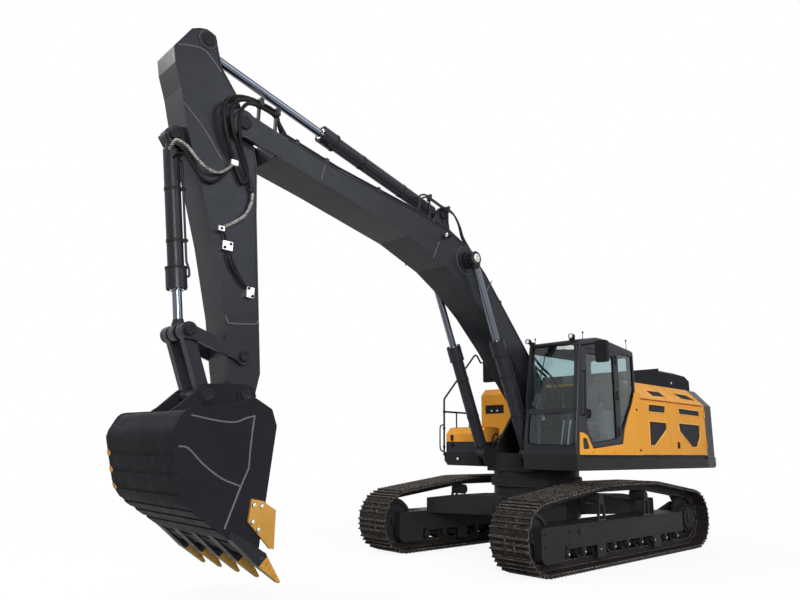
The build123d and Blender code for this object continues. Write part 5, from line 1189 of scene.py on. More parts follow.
@dataclass
class House(Assembly):
    """Locks, handles, panel joints and bolts of the engine house, hood and counterweight."""

    half_width: float = 1.49
    house_top: float = 2.71
    shoulder_line: float = 2.41
    seam: float = -1.62
    hood_side: float = 1.12
    openings: dict[str, tuple[Side, tuple[tuple[Flat, ...], ...]]] = field(default_factory=lambda: {
        "left_front_door": (Side.LEFT, (
            ((-0.90, 2.325), (-1.48, 2.325), (-1.46, 2.20), (-0.87, 2.20)),
            ((-0.88, 2.05), (-1.48, 2.045), (-1.50, 1.94), (-1.04, 1.665), (-0.86, 1.66)))),
        "left_rear_door": (Side.LEFT, (
            ((-1.98, 2.31), (-2.83, 2.30), (-2.83, 2.20), (-2.0, 2.205)),
            ((-1.95, 2.055), (-2.81, 2.045), (-2.79, 1.83), (-2.63, 1.65), (-2.43, 1.65), (-1.97, 1.92)))),
        "right_door": (Side.RIGHT, (
            ((-1.50, 2.31), (-2.83, 2.31), (-2.83, 2.20), (-1.50, 2.20)),
            ((-1.50, 2.05), (-2.81, 2.05), (-2.79, 1.83), (-2.63, 1.65), (-1.70, 1.65), (-1.50, 1.85)))),
    })
    shoulder_openings: tuple[tuple[Flat, ...], ...] = (
        ((-1.13, 0.24), (-1.67, 0.24), (-1.73, 0.099), (-1.18, 0.085)),
        ((-2.18, 0.269), (-2.79, 0.255), (-2.96, 0.099), (-2.32, 0.113)),)

    def locks(self) -> None:
        """Paddle locks of the side doors and round catches of the fairing."""
        for name, body, station, height, side in (
                ("left_door_lock", "left_rear_door", -1.903, 1.676, Side.LEFT),
                ("right_door_lock", "right_door", -1.45, 1.676, Side.RIGHT)):
            face = side.value * self.half_width
            out = side.out
            shaper = Shaper()
            shaper.box(at(station - 0.045, min(face - 0.002, face + side.value * 0.006), height - 0.055), at(
                station + 0.045, max(face + 0.002, face + side.value * 0.006), height + 0.055), 0.003)
            shaper.box(at(station - 0.024, min(face, face + side.value * 0.014), height - 0.036),
                       at(station + 0.024, max(face, face + side.value * 0.014), height + 0.016), 0.004)
            shaper.turned(at(station, face + side.value * 0.006, height + 0.034), out,
                          ((0.0, 0.010), (0.005, 0.010), (0.006, 0.006)), 16)
            shaper.place(name, self.finishes.plastic, body)
        catches = Shaper()
        for station, height in ((-0.513, 1.584), (-0.455, 2.212)):
            catches.turned(at(station, self.half_width + 0.0143, height), Vector((0.0, 1.0, 0.0)), (
                (-0.002, 0.020), (0.006, 0.020), (0.010, 0.014)), 22)
        for station in (-0.30, 0.30, 0.90):
            catches.turned(at(station, self.half_width + 0.0143, 1.545), Vector((0.0, 1.0, 0.0)), (
                (-0.002, 0.009), (0.003, 0.009), (0.005, 0.005)), 14)
        catches.place("fairing_catches", self.finishes.plastic, "upperstructure")

    def lips(self) -> None:
        """Raised lips round the openings of the side doors and the shoulder panels, in a lighter amber: a
        painted highlight.
        """
        for name, (side, openings) in self.openings.items():
            shaper = Shaper()
            y = side.value * (self.half_width + 0.001)
            for outline in openings:
                shaper.tube([at(station, y, height) for station, height in outline], 0.0085, 8, closed=True)
            shaper.place(name + "_lips", self.finishes.lip, name)
        shaper = Shaper()
        slope = math.sqrt(0.5)
        for outline in self.shoulder_openings:
            shaper.tube([at(station, self.half_width - slope * (rise - 0.001), self.shoulder_line
                            + slope * (rise + 0.001)) for station, rise in outline], 0.0085, 8, closed=True)
        shaper.place("shoulder_lips", self.finishes.lip, "upperstructure")

    def joints(self) -> None:
        """Dark joint lines of the shoulder panels and the roof."""
        shaper = Shaper()
        for station in (self.seam, -2.05):
            for side in Side:
                low = at(station, side.value * (self.half_width - 0.012), self.shoulder_line + 0.012)
                high = at(station, side.value * (self.half_width - 0.288), self.shoulder_line + 0.288)
                out = Vector((0.0, side.value, 1.0)).normalized() * 0.0012
                ahead = Vector((0.003, 0.0, 0.0))
                shaper.loops([[low - ahead - out, low + ahead - out, low + ahead + out, low - ahead + out], [
                    high - ahead - out, high + ahead - out, high + ahead + out, high - ahead + out]])
        shaper.place("panel_joints", self.finishes.rubber, "upperstructure")

    def roof_bolts(self) -> None:
        """Bolts along both edges of the roof."""
        shaper = Shaper()
        for step in range(9):
            station = -2.95 + 0.28 * step
            shaper.bolt(at(station, 1.168, self.house_top), UP, 0.010, 0.006)
            shaper.bolt(at(station, -0.64, self.house_top), UP, 0.010, 0.006)
        shaper.place("roof_bolts", self.finishes.zinc, "upperstructure")

    def hood(self) -> None:
        """Side catches and a pull handle on the hood."""
        catches = Shaper()
        for side_y, sign in ((self.hood_side, 1.0), (-0.56, -1.0)):
            out = Vector((0.0, sign, 0.0))
            catches.turned(
                at(-2.588, side_y, 2.819), out, ((-0.002, 0.022), (0.008, 0.022), (0.012, 0.016)), 20)
        catches.place("hood_catches", self.finishes.zinc, "engine_hood")
        handle = Shaper()
        start, end, reach = at(-0.898, 0.18, 2.80), at(-0.898, 0.38, 2.80), Vector((0.035, 0.0, 0.0))
        handle.tube(rounded([start, start + reach, end + reach, end], 0.02), 0.007, 10)
        handle.place("hood_handle", self.finishes.plastic, "engine_hood")

    def tail(self) -> None:
        """Lifting plugs of the counterweight."""
        shaper = Shaper()
        for y in (-0.95, 1.10):
            shaper.turned(at(-3.20, y, self.house_top), UP, (
                (-0.002, 0.050), (0.010, 0.050), (0.016, 0.040), (0.016, 0.020), (0.006, 0.018)), 28)
        shaper.place("lifting_plugs", self.finishes.chassis, "upperstructure")

    def build(self) -> None:
        """Builds the dressing of the engine house."""
        self.locks()
        self.lips()
        self.joints()
        self.roof_bolts()
        self.hood()
        self.tail()


@dataclass
class Cab(Assembly):
    """Seals, wiper, roof posts, grab rail, controls and the operator's seat."""

    sill: float = 1.7
    front: float = 1.3
    lean: float = 0.215 / 1.465
    left: float = 1.49
    right: float = 0.575
    floor: float = 1.56
    seat_y: float = 1.04

    def on_screen(self, y: float, height: float, proud: float) -> Vector:
        """Point at a distance ahead of the cab's leaning front."""
        return at(self.front - self.lean * max(0.0, height - self.sill) + proud, y, height)

    def seals(self) -> None:
        """Rubber seals round every pane."""
        shell = Shaper()
        screen = ((0.65, 1.65), (1.44, 1.635), (1.405, 3.105), (0.64, 3.125))
        path = [self.on_screen(y, z, -0.004) for y, z in screen]
        shell.tube(self.ring(path, 0.07), 0.010, 8, closed=True)
        quarter = ((0.025, 3.068), (0.025, 1.8), (-0.04, 1.925), (-0.18, 2.12), (-0.326, 2.3), (-0.436, 2.4),
                   (-0.446, 3.06))
        shell.tube(self.ring([at(x, self.left - 0.012, z) for x, z in quarter], 0.04), 0.008, 8, closed=True)
        far = ((-0.42, 2.0), (1.08, 1.8), (1.0, 3.03), (-0.42, 3.05))
        shell.tube(self.ring([at(x, self.right + 0.012, z) for x, z in far], 0.06), 0.009, 8, closed=True)
        rear = ((0.70, 2.15), (1.37, 2.15), (1.37, 3.06), (0.70, 3.06))
        shell.tube(self.ring([at(-0.488, y, z) for y, z in rear], 0.06), 0.009, 8, closed=True)
        shell.place("cab_seals", self.finishes.rubber, "upperstructure")
        door = Shaper()
        pane = ((0.161, 1.745), (0.858, 1.675), (0.952, 1.812), (1.003, 1.872), (0.957, 2.972),
                (0.161, 3.004))
        door.tube(self.ring([at(x, self.left - 0.010, z) for x, z in pane], 0.04), 0.009, 8, closed=True)
        door.place("door_seal", self.finishes.rubber, "cab_door")

    def ring(self, points: Sequence[Vector], radius: float) -> list[Vector]:
        """Closed path through corner points with rounded corners.

        Args:
            points: Corner points in order.
            radius: Distance from a corner at which its curve starts.

        Returns:
            The closed path.
        """
        path = []
        count = len(points)
        for index, corner in enumerate(points):
            before, after = points[index - 1], points[(index + 1) % count]
            reach_in = min(radius, 0.4 * (corner - before).length)
            reach_out = min(radius, 0.4 * (after - corner).length)
            start = corner + (before - corner).normalized() * reach_in
            end = corner + (after - corner).normalized() * reach_out
            for step in range(5):
                share = step / 4
                path.append(start.lerp(corner, share).lerp(corner.lerp(end, share), share))
        return path

    def outside(self) -> None:
        """Wiper, grab rail, screen clips, roof posts and rain gutter."""
        shaper = Shaper()
        shaper.turned(
            self.on_screen(0.69, 2.20, -0.002), AHEAD, ((0.0, 0.024), (0.03, 0.024), (0.036, 0.018)), 18)
        shaper.tube([self.on_screen(0.69, 2.20, 0.03), self.on_screen(0.76, 2.45, 0.028),
                     self.on_screen(0.86, 2.78, 0.008)], 0.006, 8)
        shaper.tube([self.on_screen(0.80, 2.40, -0.002), self.on_screen(0.90, 3.02, -0.002)], 0.007, 8)
        rail = [at(1.10, 1.478, 2.06), at(1.10, 1.525, 2.06), at(1.04, 1.525, 2.70), at(1.04, 1.478, 2.70)]
        shaper.tube(rounded(rail, 0.03), 0.011, 12)
        for y, z in ((0.60, 2.139), (0.60, 2.015), (1.462, 2.139), (1.462, 2.015), (1.462, 1.62),
                     (1.462, 3.08)):
            shaper.turned(
                self.on_screen(y, z, -0.004), AHEAD, ((0.0, 0.014), (0.012, 0.014), (0.016, 0.009)), 14)
        shaper.place("cab_fittings", self.finishes.plastic, "upperstructure")
        posts = Shaper()
        for station, y, base, top in (
                (1.02, 0.655, 3.16, 3.268), (0.86, 1.40, 3.19, 3.315), (-0.44, 1.40, 3.14, 3.345)):
            posts.turned(at(station, y, base), UP, (
                (0.0, 0.012), (0.02, 0.012), (0.022, 0.005), (top - base - 0.030, 0.005),
                (top - base - 0.026, 0.013), (top - base - 0.006, 0.013), (top - base, 0.007)), 14)
        posts.place("roof_posts", self.finishes.plastic, "upperstructure")
        gutter = Shaper()
        gutter.tube(smooth(((1.05, 1.474, 3.13), (0.75, 1.478, 3.17),
                            (0.45, 1.478, 3.19), (0.10, 1.478, 3.165), (-0.40, 1.474, 3.12))), 0.011, 8)
        gutter.place("rain_gutter", self.finishes.charcoal, "upperstructure")

    def door_trim(self) -> None:
        """Outer handle of the door and its plate."""
        shaper = Shaper()
        shaper.box(at(0.90, self.left - 0.004, 2.02), at(0.985, self.left + 0.004, 2.16), 0.003)
        shaper.tube(rounded([
            at(0.942, self.left, 2.04), at(0.942, self.left + 0.034, 2.05),
            at(0.942, self.left + 0.034, 2.13), at(0.942, self.left, 2.14)], 0.015), 0.008, 10)
        shaper.place("door_handle", self.finishes.plastic, "cab_door")

    def controls(self) -> None:
        """Joystick grips, travel levers with pedals, and the screen."""
        grips = Shaper()
        for y in (self.seat_y - 0.33, self.seat_y + 0.31):
            low = at(0.38, y, self.floor + 0.755)
            grips.turned(low, Vector((0.12, 0.0, 1.0)), (
                (-0.03, 0.022), (0.0, 0.027),
                (0.03, 0.030), (0.06, 0.026), (0.09, 0.030), (0.115, 0.024), (0.125, 0.010)), 18)
        grips.place("joystick_grips", self.finishes.rubber, "upperstructure")
        levers = Shaper()
        for y in (0.95, 1.06):
            levers.tube(smooth(((0.86, y, self.floor + 0.01), (0.84, y, self.floor + 0.14),
                                (0.80, y, self.floor + 0.30), (0.74, y, self.floor + 0.46))), 0.010, 10)
        levers.place("travel_levers", self.finishes.zinc, "upperstructure")
        pedals = Shaper()
        for y in (0.95, 1.06):
            pedals.box(at(0.80, y - 0.04, self.floor + 0.045), at(0.97, y + 0.04, self.floor + 0.060), 0.004)
            pedals.turned(at(0.736, y, self.floor + 0.465), Vector((-0.35, 0.0, 1.0)),
                          ((-0.012, 0.016), (0.03, 0.022), (0.05, 0.018), (0.058, 0.008)), 14)
        pedals.place("travel_pedals", self.finishes.rubber, "upperstructure")
        screen = Shaper()
        screen.box(at(0.9285, 0.668, 2.015), at(0.931, 0.708, 2.185), 0.001)
        screen.place("monitor_face", self.finishes.mirror, "upperstructure")

    def pad(self, name: str, outline: Sequence[Flat], half: float, crown: float,
            fill: float) -> bpy.types.Object:
        """Upholstered pad on a side outline, crowned at its middle and drawn in at its rim.

        Args:
            name: Name of the pad.
            outline: Side outline in stations and heights, closed.
            half: Half of the pad's width.
            crown: Height of the crown over the rim.
            fill: How tight the pad is, from 0 to 1; not used.

        Returns:
            The pad.
        """
        centre = Vector(
            (sum(x for x, _ in outline) / len(outline), sum(z for _, z in outline) / len(outline)))
        rings = []
        for step in range(17):
            share = -1.0 + step / 8.0
            swell = (1.0 - abs(share) ** 4.0) ** 0.5 if abs(share) < 1.0 else 0.0
            seam = 0.006 if step in (5, 11) else 0.0
            size = 0.90 + 0.10 * swell
            ring = []
            for x, z in outline:
                out = Vector((x, z)) - centre
                grow = 1.0 + (crown * swell - crown - seam) / max(out.length, 0.05)
                place = centre + out * size * grow
                ring.append(at(place.x, self.seat_y + half * share, place.y))
            rings.append(ring)
        shaper = Shaper()
        shaper.loops(rings)
        piece = shaper.place(name, self.finishes.cloth, "upperstructure", 80.0)
        smoothing = piece.modifiers.new("smoothing", "SUBSURF")
        smoothing.levels = smoothing.render_levels = 2
        return piece

    def seat(self) -> None:
        """Operator's seat: bellows, pads, headrest and arm rests, in place of the plain solid."""
        base = Shaper()
        rings = []
        for step in range(13):
            bulge = 0.0 if step % 2 else 0.018
            corners = clipped(
                (-0.13 - bulge, self.seat_y - 0.19 - bulge), (0.30 + bulge, self.seat_y + 0.19 + bulge), 0.05)
            rings.append([at(x, y, self.floor + 0.02 + 0.29 * step / 12) for x, y in corners])
        base.loops(rings)
        base.box(at(-0.15, self.seat_y - 0.21, self.floor), at(0.33, self.seat_y + 0.21, self.floor + 0.03),
                 0.006)
        bellows = base.place("seat_bellows", self.finishes.rubber, "upperstructure")
        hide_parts("operator_seat")
        squab = [(-0.17, 1.90), (0.0, 1.893), (0.18, 1.893), (0.34, 1.90), (0.375, 1.94), (0.36, 1.985),
                 (0.24, 2.005), (0.08, 2.0), (-0.06, 1.99), (-0.15, 1.97)]
        self.pad("seat_squab", squab, 0.245, 0.010, 0.75)
        back = [(-0.165, 1.96), (-0.12, 1.99), (-0.085, 2.08), (-0.10, 2.22), (-0.135, 2.40), (-0.165, 2.56),
                (-0.20, 2.625), (-0.265, 2.63), (-0.285, 2.56), (-0.255, 2.36), (-0.225, 2.16), (-0.20, 2.0)]
        self.pad("seat_backrest", back, 0.24, 0.008, 0.75)
        head = [(-0.215, 2.66), (-0.21, 2.72), (-0.23, 2.80), (-0.27, 2.825), (-0.305, 2.80), (-0.30, 2.70),
                (-0.275, 2.65)]
        self.pad("seat_headrest", head, 0.125, 0.006, 0.8)
        rests = Shaper()
        for sign in (-1, 1):
            y = self.seat_y + sign * 0.272
            rests.box(at(-0.10, y - 0.022, 2.165), at(0.20, y + 0.022, 2.205), 0.012)
            rests.tube(rounded([at(-0.16, y, 2.05), at(-0.13, y, 2.16), at(-0.05, y, 2.175)], 0.03), 0.012, 8)
        for y in (self.seat_y - 0.05, self.seat_y + 0.05):
            rests.tube([at(-0.245, y, 2.60), at(-0.262, y, 2.70)], 0.006, 8)
        rests.place("seat_armrests", self.finishes.plastic, "upperstructure")

    def build(self) -> None:
        """Builds the dressing of the cab."""
        self.seals()
        self.outside()
        self.door_trim()
        self.controls()
        self.seat()


@dataclass
class Cylinder(Assembly):
    """Gland bolts, bands, pipe, wiper ring and rod eye of one hydraulic cylinder."""

    name: str
    base: Flat
    eye: Flat
    y: float
    radius: float
    head: float
    barrel: float
    rod: float
    pipe_side: float
    turn: float
    eye_size: Flat
    wall: float = 0.004
    band_length: float = 0.035
    band_shares: Flat = (0.34, 0.68)
    lug_half: float = 0.024
    lug_height: float = 0.044

    @property
    def start(self) -> Vector:
        """Middle of the base pin."""
        return at(self.base[0], self.y, self.base[1])

    @property
    def end(self) -> Vector:
        """Middle of the rod's eye."""
        return at(self.eye[0], self.y, self.eye[1])

    @property
    def along(self) -> Vector:
        """Unit vector from the base pin to the rod's eye."""
        return (self.end - self.start).normalized()

    @property
    def out(self) -> Vector:
        """Unit vector from the axis to the pipe."""
        normal = self.along.cross(Side.LEFT.out).normalized() * self.pipe_side
        return normal * math.cos(self.turn) + Side.LEFT.out * math.sin(self.turn)

    def gland(self) -> None:
        """Collar and bolts of the barrel's head, and the wiper ring round the rod."""
        head, along = self.start + self.along * self.barrel, self.along
        collar = Shaper()
        bolt_ring(collar, head, along, self.head - 0.020, 10, 0.012, 0.012)
        collar.turned(self.start + along * (self.barrel - 0.245), along, (
            (0.0, self.radius - self.wall), (0.004, self.head + 0.004),
            (0.030, self.head + 0.004), (0.034, self.radius - self.wall)), 36, hollow=True)
        collar.place(self.name + "_gland", self.finishes.chassis, self.name + "_barrel")
        wiper = Shaper()
        wiper.turned(head, along, (
            (-0.001, self.rod + 0.022), (0.007, self.rod + 0.022), (0.010, self.rod + 0.012),
            (0.010, self.rod + 0.0015), (-0.001, self.rod + 0.0015)), 36, hollow=True)
        wiper.place(self.name + "_wiper", self.finishes.zinc, self.name + "_barrel")

    def rod_eye(self) -> None:
        """Eye at the rod's end and the neck that joins it to the rod."""
        sleeve = Shaper()
        half, eye_radius = self.eye_size
        for side in Side:
            sleeve.turned(self.end, side.out, (
                (0.0, eye_radius + 0.003), (half - 0.004, eye_radius + 0.003),
                (half + 0.0015, eye_radius - 0.004), (half + 0.0015, 0.062)), 36)
        sleeve.turned(self.end - self.along * (eye_radius + 0.05), self.along, (
            (0.0, self.rod + 0.0015), (0.004, self.rod + 0.006),
            (0.025, self.rod + 0.008), (0.05, self.rod + 0.020), (0.08, self.rod + 0.020)), 32)
        sleeve.place(self.name + "_rod_eye", self.finishes.charcoal, self.name + "_rod")

    def pipe(self) -> None:
        """Pipe along the barrel, which steps out over the head."""
        start, along, out = self.start, self.along, self.out
        lift, head_lift = self.radius + 0.024, self.head + 0.024
        low, high = 0.27, self.barrel - 0.13
        corners = ((low, self.radius - 0.01), (low, lift), (high - 0.16, lift), (high - 0.08, head_lift),
                   (high, head_lift), (high, self.head - 0.01))
        shaper = Shaper()
        shaper.tube(rounded([start + along * run + out * rise for run, rise in corners], 0.03), 0.013, 12)
        shaper.place(self.name + "_pipe", self.finishes.charcoal, self.name + "_barrel")

    def bands(self) -> None:
        """Bands round the barrel, each with the bolted lug that holds the pipe."""
        along, out = self.along, self.out
        side = out.cross(along).normalized() * self.lug_half
        rim, bore = self.radius + 0.005, self.radius - self.wall
        shaper = Shaper()
        for share in self.band_shares:
            place = self.start + along * (share * self.barrel)
            shaper.turned(place, along, (
                (0.0, rim), (self.band_length, rim), (self.band_length, bore), (0.0, bore)), 36, hollow=True)
            corner = place + out * (self.radius + 0.001)
            top = corner + out * self.lug_height
            shaper.prism([corner - side, corner + side, top + side, top - side], along * self.band_length)
            shaper.bolt(top + along * (0.5 * self.band_length), out, 0.010, 0.009)
        shaper.place(self.name + "_bands", self.finishes.chassis, self.name + "_barrel")

    def build(self) -> None:
        """Builds the cylinder's dressing."""
        self.gland()
        self.rod_eye()
        self.pipe()
        self.bands()


@dataclass
class Pins(Assembly):
    """Bolted end caps of the pins on both sides, and the rings of the boom cylinders' rod pins."""

    caps: dict[str, tuple[str, Flat, float, float]] = field(default_factory=lambda: {
        "foot": ("upperstructure", (0.13, 2.18), 0.375, 0.075),
        "lug": ("upperstructure", (1.0, 1.5), 0.544, 0.058),
        "tip": ("boom", (6.10, 5.20), 0.330, 0.078),
        "arm_cylinder_base": ("boom", (2.55, 5.05), 0.125, 0.060),
        "arm_head": ("arm", (6.58, 6.10), 0.229, 0.080),
        "bucket_cylinder_base": ("arm", (6.82, 4.88), 0.120, 0.058),
        "link_foot": ("side_links", (5.88, 2.52), 0.278, 0.058),
        "link_head": ("side_links", (6.53, 2.73), 0.278, 0.058),
        "bucket_link": ("bucket", (6.28, 2.08), 0.276, 0.070),
        "bucket": ("bucket", (5.84, 2.10), 0.284, 0.058),
    })

    def build(self) -> None:
        """Builds the caps of every pin."""
        for name, (body, place, face, radius) in self.caps.items():
            shaper = Shaper()
            for side in Side:
                out = side.out
                centre = at(place[0], side.value * face, place[1])
                shaper.turned(centre, out, ((-0.003, radius), (0.010, radius), (0.014, radius - 0.005),
                                            (0.014, 0.55 * radius), (0.010, 0.5 * radius)), 32)
                bolt_ring(shaper, centre + out * 0.014, out, 0.74 * radius, 3, 0.010, 0.009)
            shaper.place(name + "_pin_caps", self.finishes.chassis, body)
        for side in Side:
            ring = Shaper()
            centre = at(2.22, side.value * 0.495, 4.36)
            out = side.out
            ring.turned(centre, out,
                        ((-0.002, 0.066), (0.012, 0.066), (0.016, 0.060), (0.016, 0.036), (0.008, 0.034)), 36)
            ring.place("rod_pin_ring_" + side.word, self.finishes.zinc, f"boom_cylinder_{side.word}_rod")


@dataclass
class BoomDress(Assembly):
    """Weld beads, branch pipes and the hose support of the boom."""

    web: float = 0.292

    def beads(self) -> None:
        """Butt welds across both webs and rings round the bosses."""
        shaper = Shaper()
        for side in Side:
            y = side.value * self.web
            for first, last in (((2.82, 4.52), (2.941, 4.249)), ((1.62, 4.15), (1.79, 3.91)),
                                ((4.92, 5.07), (4.98, 4.84))):
                shaper.tube([at(first[0], y, first[1]), at(last[0], y, last[1])], 0.009, 8)
            shaper.tube(circle(2.22, y, 4.36, 0.217), 0.006, 8, closed=True)
            shaper.tube(circle(6.10, side.value * 0.300, 5.20, 0.163), 0.006, 8, closed=True)
        shaper.place("boom_welds", self.finishes.weld, "boom")

    def branches(self) -> None:
        """Two pipes that rise from the boom's back over the arm cylinder's foot."""
        shaper = Shaper()
        for y, rise in ((0.150, 0.0), (0.185, -0.05)):
            shaper.tube(smooth((
                (2.02, y + 0.01, 4.60), (2.16, y, 4.76), (2.24, y, 4.97 + rise), (2.38, y, 5.13 + rise),
                (2.62, y, 5.17 + rise), (2.82, y, 5.22 + rise), (2.98, y, 5.25 + rise),
                (3.10, y, 5.18 + rise), (3.14, y, 4.97), (3.20, y + 0.01, 4.88))), 0.014, 12)
        for station, height in ((2.50, 5.165), (2.90, 5.245)):
            shaper.box(at(station - 0.02, 0.128, height - 0.075), at(station + 0.02, 0.207, height + 0.022),
                       0.004)
        shaper.place("branch_pipes", self.finishes.charcoal, "boom")
        foot = Shaper()
        for station, height, boom_top in ((2.50, 5.10, 4.72), (2.90, 5.18, 4.79)):
            foot.box(at(station - 0.012, 0.156, boom_top - 0.03), at(station + 0.012, 0.18, height), 0.002)
        foot.place("branch_stays", self.finishes.charcoal, "boom")

    def support(self) -> None:
        """Clamp stands that carry the hoses over the boom's tip."""
        shaper = Shaper()
        for station, top in ((5.655, 5.47), (5.89, 5.505)):
            shaper.box(at(station - 0.014, 0.220, 5.20), at(station + 0.014, 0.270, top), 0.003)
            shaper.box(at(station - 0.028, 0.214, top - 0.004), at(station + 0.028, 0.318, top + 0.098),
                       0.006)
            for y in (0.232, 0.300):
                shaper.bolt(at(station, y, top + 0.098), UP, 0.010, 0.010)
        shaper.place("hose_stands", self.finishes.charcoal, "boom")

    def build(self) -> None:
        """Builds the boom's dressing."""
        self.beads()
        self.branches()
        self.support()


@dataclass
class ArmDress(Assembly):
    """Weld beads, pipe block and hoses on the arm's left side."""

    web: float = 0.207

    def beads(self) -> None:
        """Seams of the head plate and the foot plate on both webs."""
        shaper = Shaper()
        head = ((6.918, 5.886), (6.776, 5.935), (6.627, 5.956), (6.528, 5.904), (6.385, 5.771))
        foot = ((6.110, 2.95), (6.085, 2.897), (6.040, 2.872), (5.745, 2.905), (5.705, 2.955))
        stay = ((6.80, 5.23), (6.55, 5.02), (6.30, 4.72))
        for side in Side:
            for outline in (head, foot, stay):
                points = tuple((x, side.value * self.web, z) for x, z in outline)
                shaper.tube(smooth(points), 0.010, 8)
            shaper.tube(circle(6.58, side.value * 0.216, 6.10, 0.108), 0.005, 8, closed=True)
        shaper.place("arm_welds", self.finishes.weld, "arm")

    def fittings(self) -> None:
        """Pipe blocks, their bolts and the short hoses between them."""
        body = Shaper()
        body.box(at(6.105, self.web - 0.002, 3.665), at(6.235, 0.262, 3.775), 0.006)
        body.box(at(6.225, self.web - 0.002, 3.865), at(6.305, 0.275, 3.925), 0.006)
        body.box(at(5.80, self.web - 0.002, 3.18), at(5.90, 0.262, 3.31), 0.008)
        body.box(at(6.120, self.web - 0.002, 4.665), at(6.215, 0.282, 4.735), 0.008)
        body.place("arm_pipe_blocks", self.finishes.zinc, "arm")
        bolts = Shaper()
        out = Vector((0.0, 1.0, 0.0))
        for station, height, face in ((6.135, 3.745, 0.262), (6.205, 3.695, 0.262), (5.825, 3.205, 0.262),
                                      (5.875, 3.285, 0.262), (6.265, 3.895, 0.275)):
            bolts.bolt(at(station, face, height), out, 0.014, 0.012)
        bolts.place("arm_block_bolts", self.finishes.chassis, "arm")
        pipes = Shaper()
        pipes.tube(smooth(((6.26, 0.245, 3.90), (6.21, 0.245, 3.84), (6.19, 0.24, 3.76))), 0.012, 10)
        pipes.tube(smooth(((6.16, 0.24, 3.67), (6.14, 0.25, 3.58), (6.085, 0.25, 3.48), (5.99, 0.25, 3.37),
                           (5.90, 0.24, 3.29))), 0.014, 10)
        pipes.tube(smooth(((6.12, 0.24, 3.67), (6.09, 0.25, 3.56), (6.03, 0.25, 3.45), (5.95, 0.25, 3.35),
                           (5.87, 0.24, 3.27))), 0.014, 10)
        pipes.place("arm_short_hoses", self.finishes.rubber, "arm")

    def crossing(self) -> None:
        """Hoses from the boom's pipes over the tip pin to the arm's side."""
        routes = {
            "crossing_hose_outer": (0.023, (
                (5.50, 0.170, 5.292), (5.56, 0.190, 5.38), (5.66, 0.238, 5.53), (5.88, 0.244, 5.57),
                (6.08, 0.27, 5.550), (6.24, 0.30, 5.485), (6.355, 0.325, 5.377), (6.375, 0.33, 5.231),
                (6.335, 0.315, 5.052), (6.262, 0.29, 4.882), (6.200, 0.265, 4.78), (6.175, 0.25, 4.71))),
            "crossing_hose_middle": (0.023, (
                (5.50, 0.235, 5.292), (5.58, 0.240, 5.38), (5.68, 0.25, 5.475), (5.88, 0.26, 5.512),
                (6.05, 0.31, 5.50), (6.19, 0.355, 5.44), (6.285, 0.372, 5.345), (6.310, 0.375, 5.219),
                (6.262, 0.36, 5.042), (6.17, 0.325, 4.874), (6.041, 0.275, 4.662), (5.95, 0.25, 4.535),
                (5.905, 0.245, 4.412))),
            "crossing_hose_inner": (0.022, (
                (5.66, 0.29, 5.46), (5.88, 0.295, 5.485), (6.02, 0.345, 5.455), (6.13, 0.385, 5.40),
                (6.20, 0.40, 5.29), (6.215, 0.40, 5.18), (6.195, 0.385, 5.03), (6.135, 0.34, 4.86),
                (6.03, 0.285, 4.70), (5.985, 0.25, 4.58), (6.04, 0.245, 4.50), (6.12, 0.245, 4.62),
                (6.15, 0.245, 4.68))),
        }
        for name, (radius, route) in routes.items():
            hose = Shaper()
            hose.tube(smooth(route), radius, 12)
            piece = hose.place(name, self.finishes.rubber, None, 60.0)
            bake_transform(piece)

    def feed(self) -> None:
        """Guarded hoses: down the arm's side, and drooping from the bucket cylinder to it."""
        drop = Shaper()
        drop.tube(smooth(((5.925, 0.245, 4.46), (5.903, 0.245, 4.40), (5.915, 0.245, 4.273),
                          (5.985, 0.245, 4.121), (6.140, 0.245, 3.985), (6.26, 0.245, 3.905))), 0.021, 12)
        drop.place("arm_drop_hose", self.finishes.guard, "arm", 60.0)
        hose = Shaper()
        hose.tube(smooth((
            (6.85, 0.085, 4.70), (6.852, 0.16, 4.735),
            (6.835, 0.23, 4.760), (6.741, 0.285, 4.699), (6.622, 0.29, 4.591), (6.485, 0.28, 4.523),
            (6.35, 0.27, 4.525), (6.235, 0.262, 4.615), (6.175, 0.255, 4.70))), 0.019, 14)
        piece = hose.place("bucket_cylinder_hose", self.finishes.guard, None, 60.0)
        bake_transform(piece)
        second = Shaper()
        second.tube(smooth((
            (6.80, 0.088, 4.62), (6.79, 0.17, 4.64), (6.74, 0.235, 4.62), (6.66, 0.25, 4.52),
            (6.55, 0.246, 4.42), (6.42, 0.243, 4.40), (6.30, 0.243, 4.49), (6.19, 0.245, 4.66))), 0.016, 12)
        piece = second.place("bucket_cylinder_return", self.finishes.rubber, None, 60.0)
        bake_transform(piece)

    def build(self) -> None:
        """Builds the arm's dressing."""
        self.beads()
        self.fittings()
        self.crossing()
        self.feed()


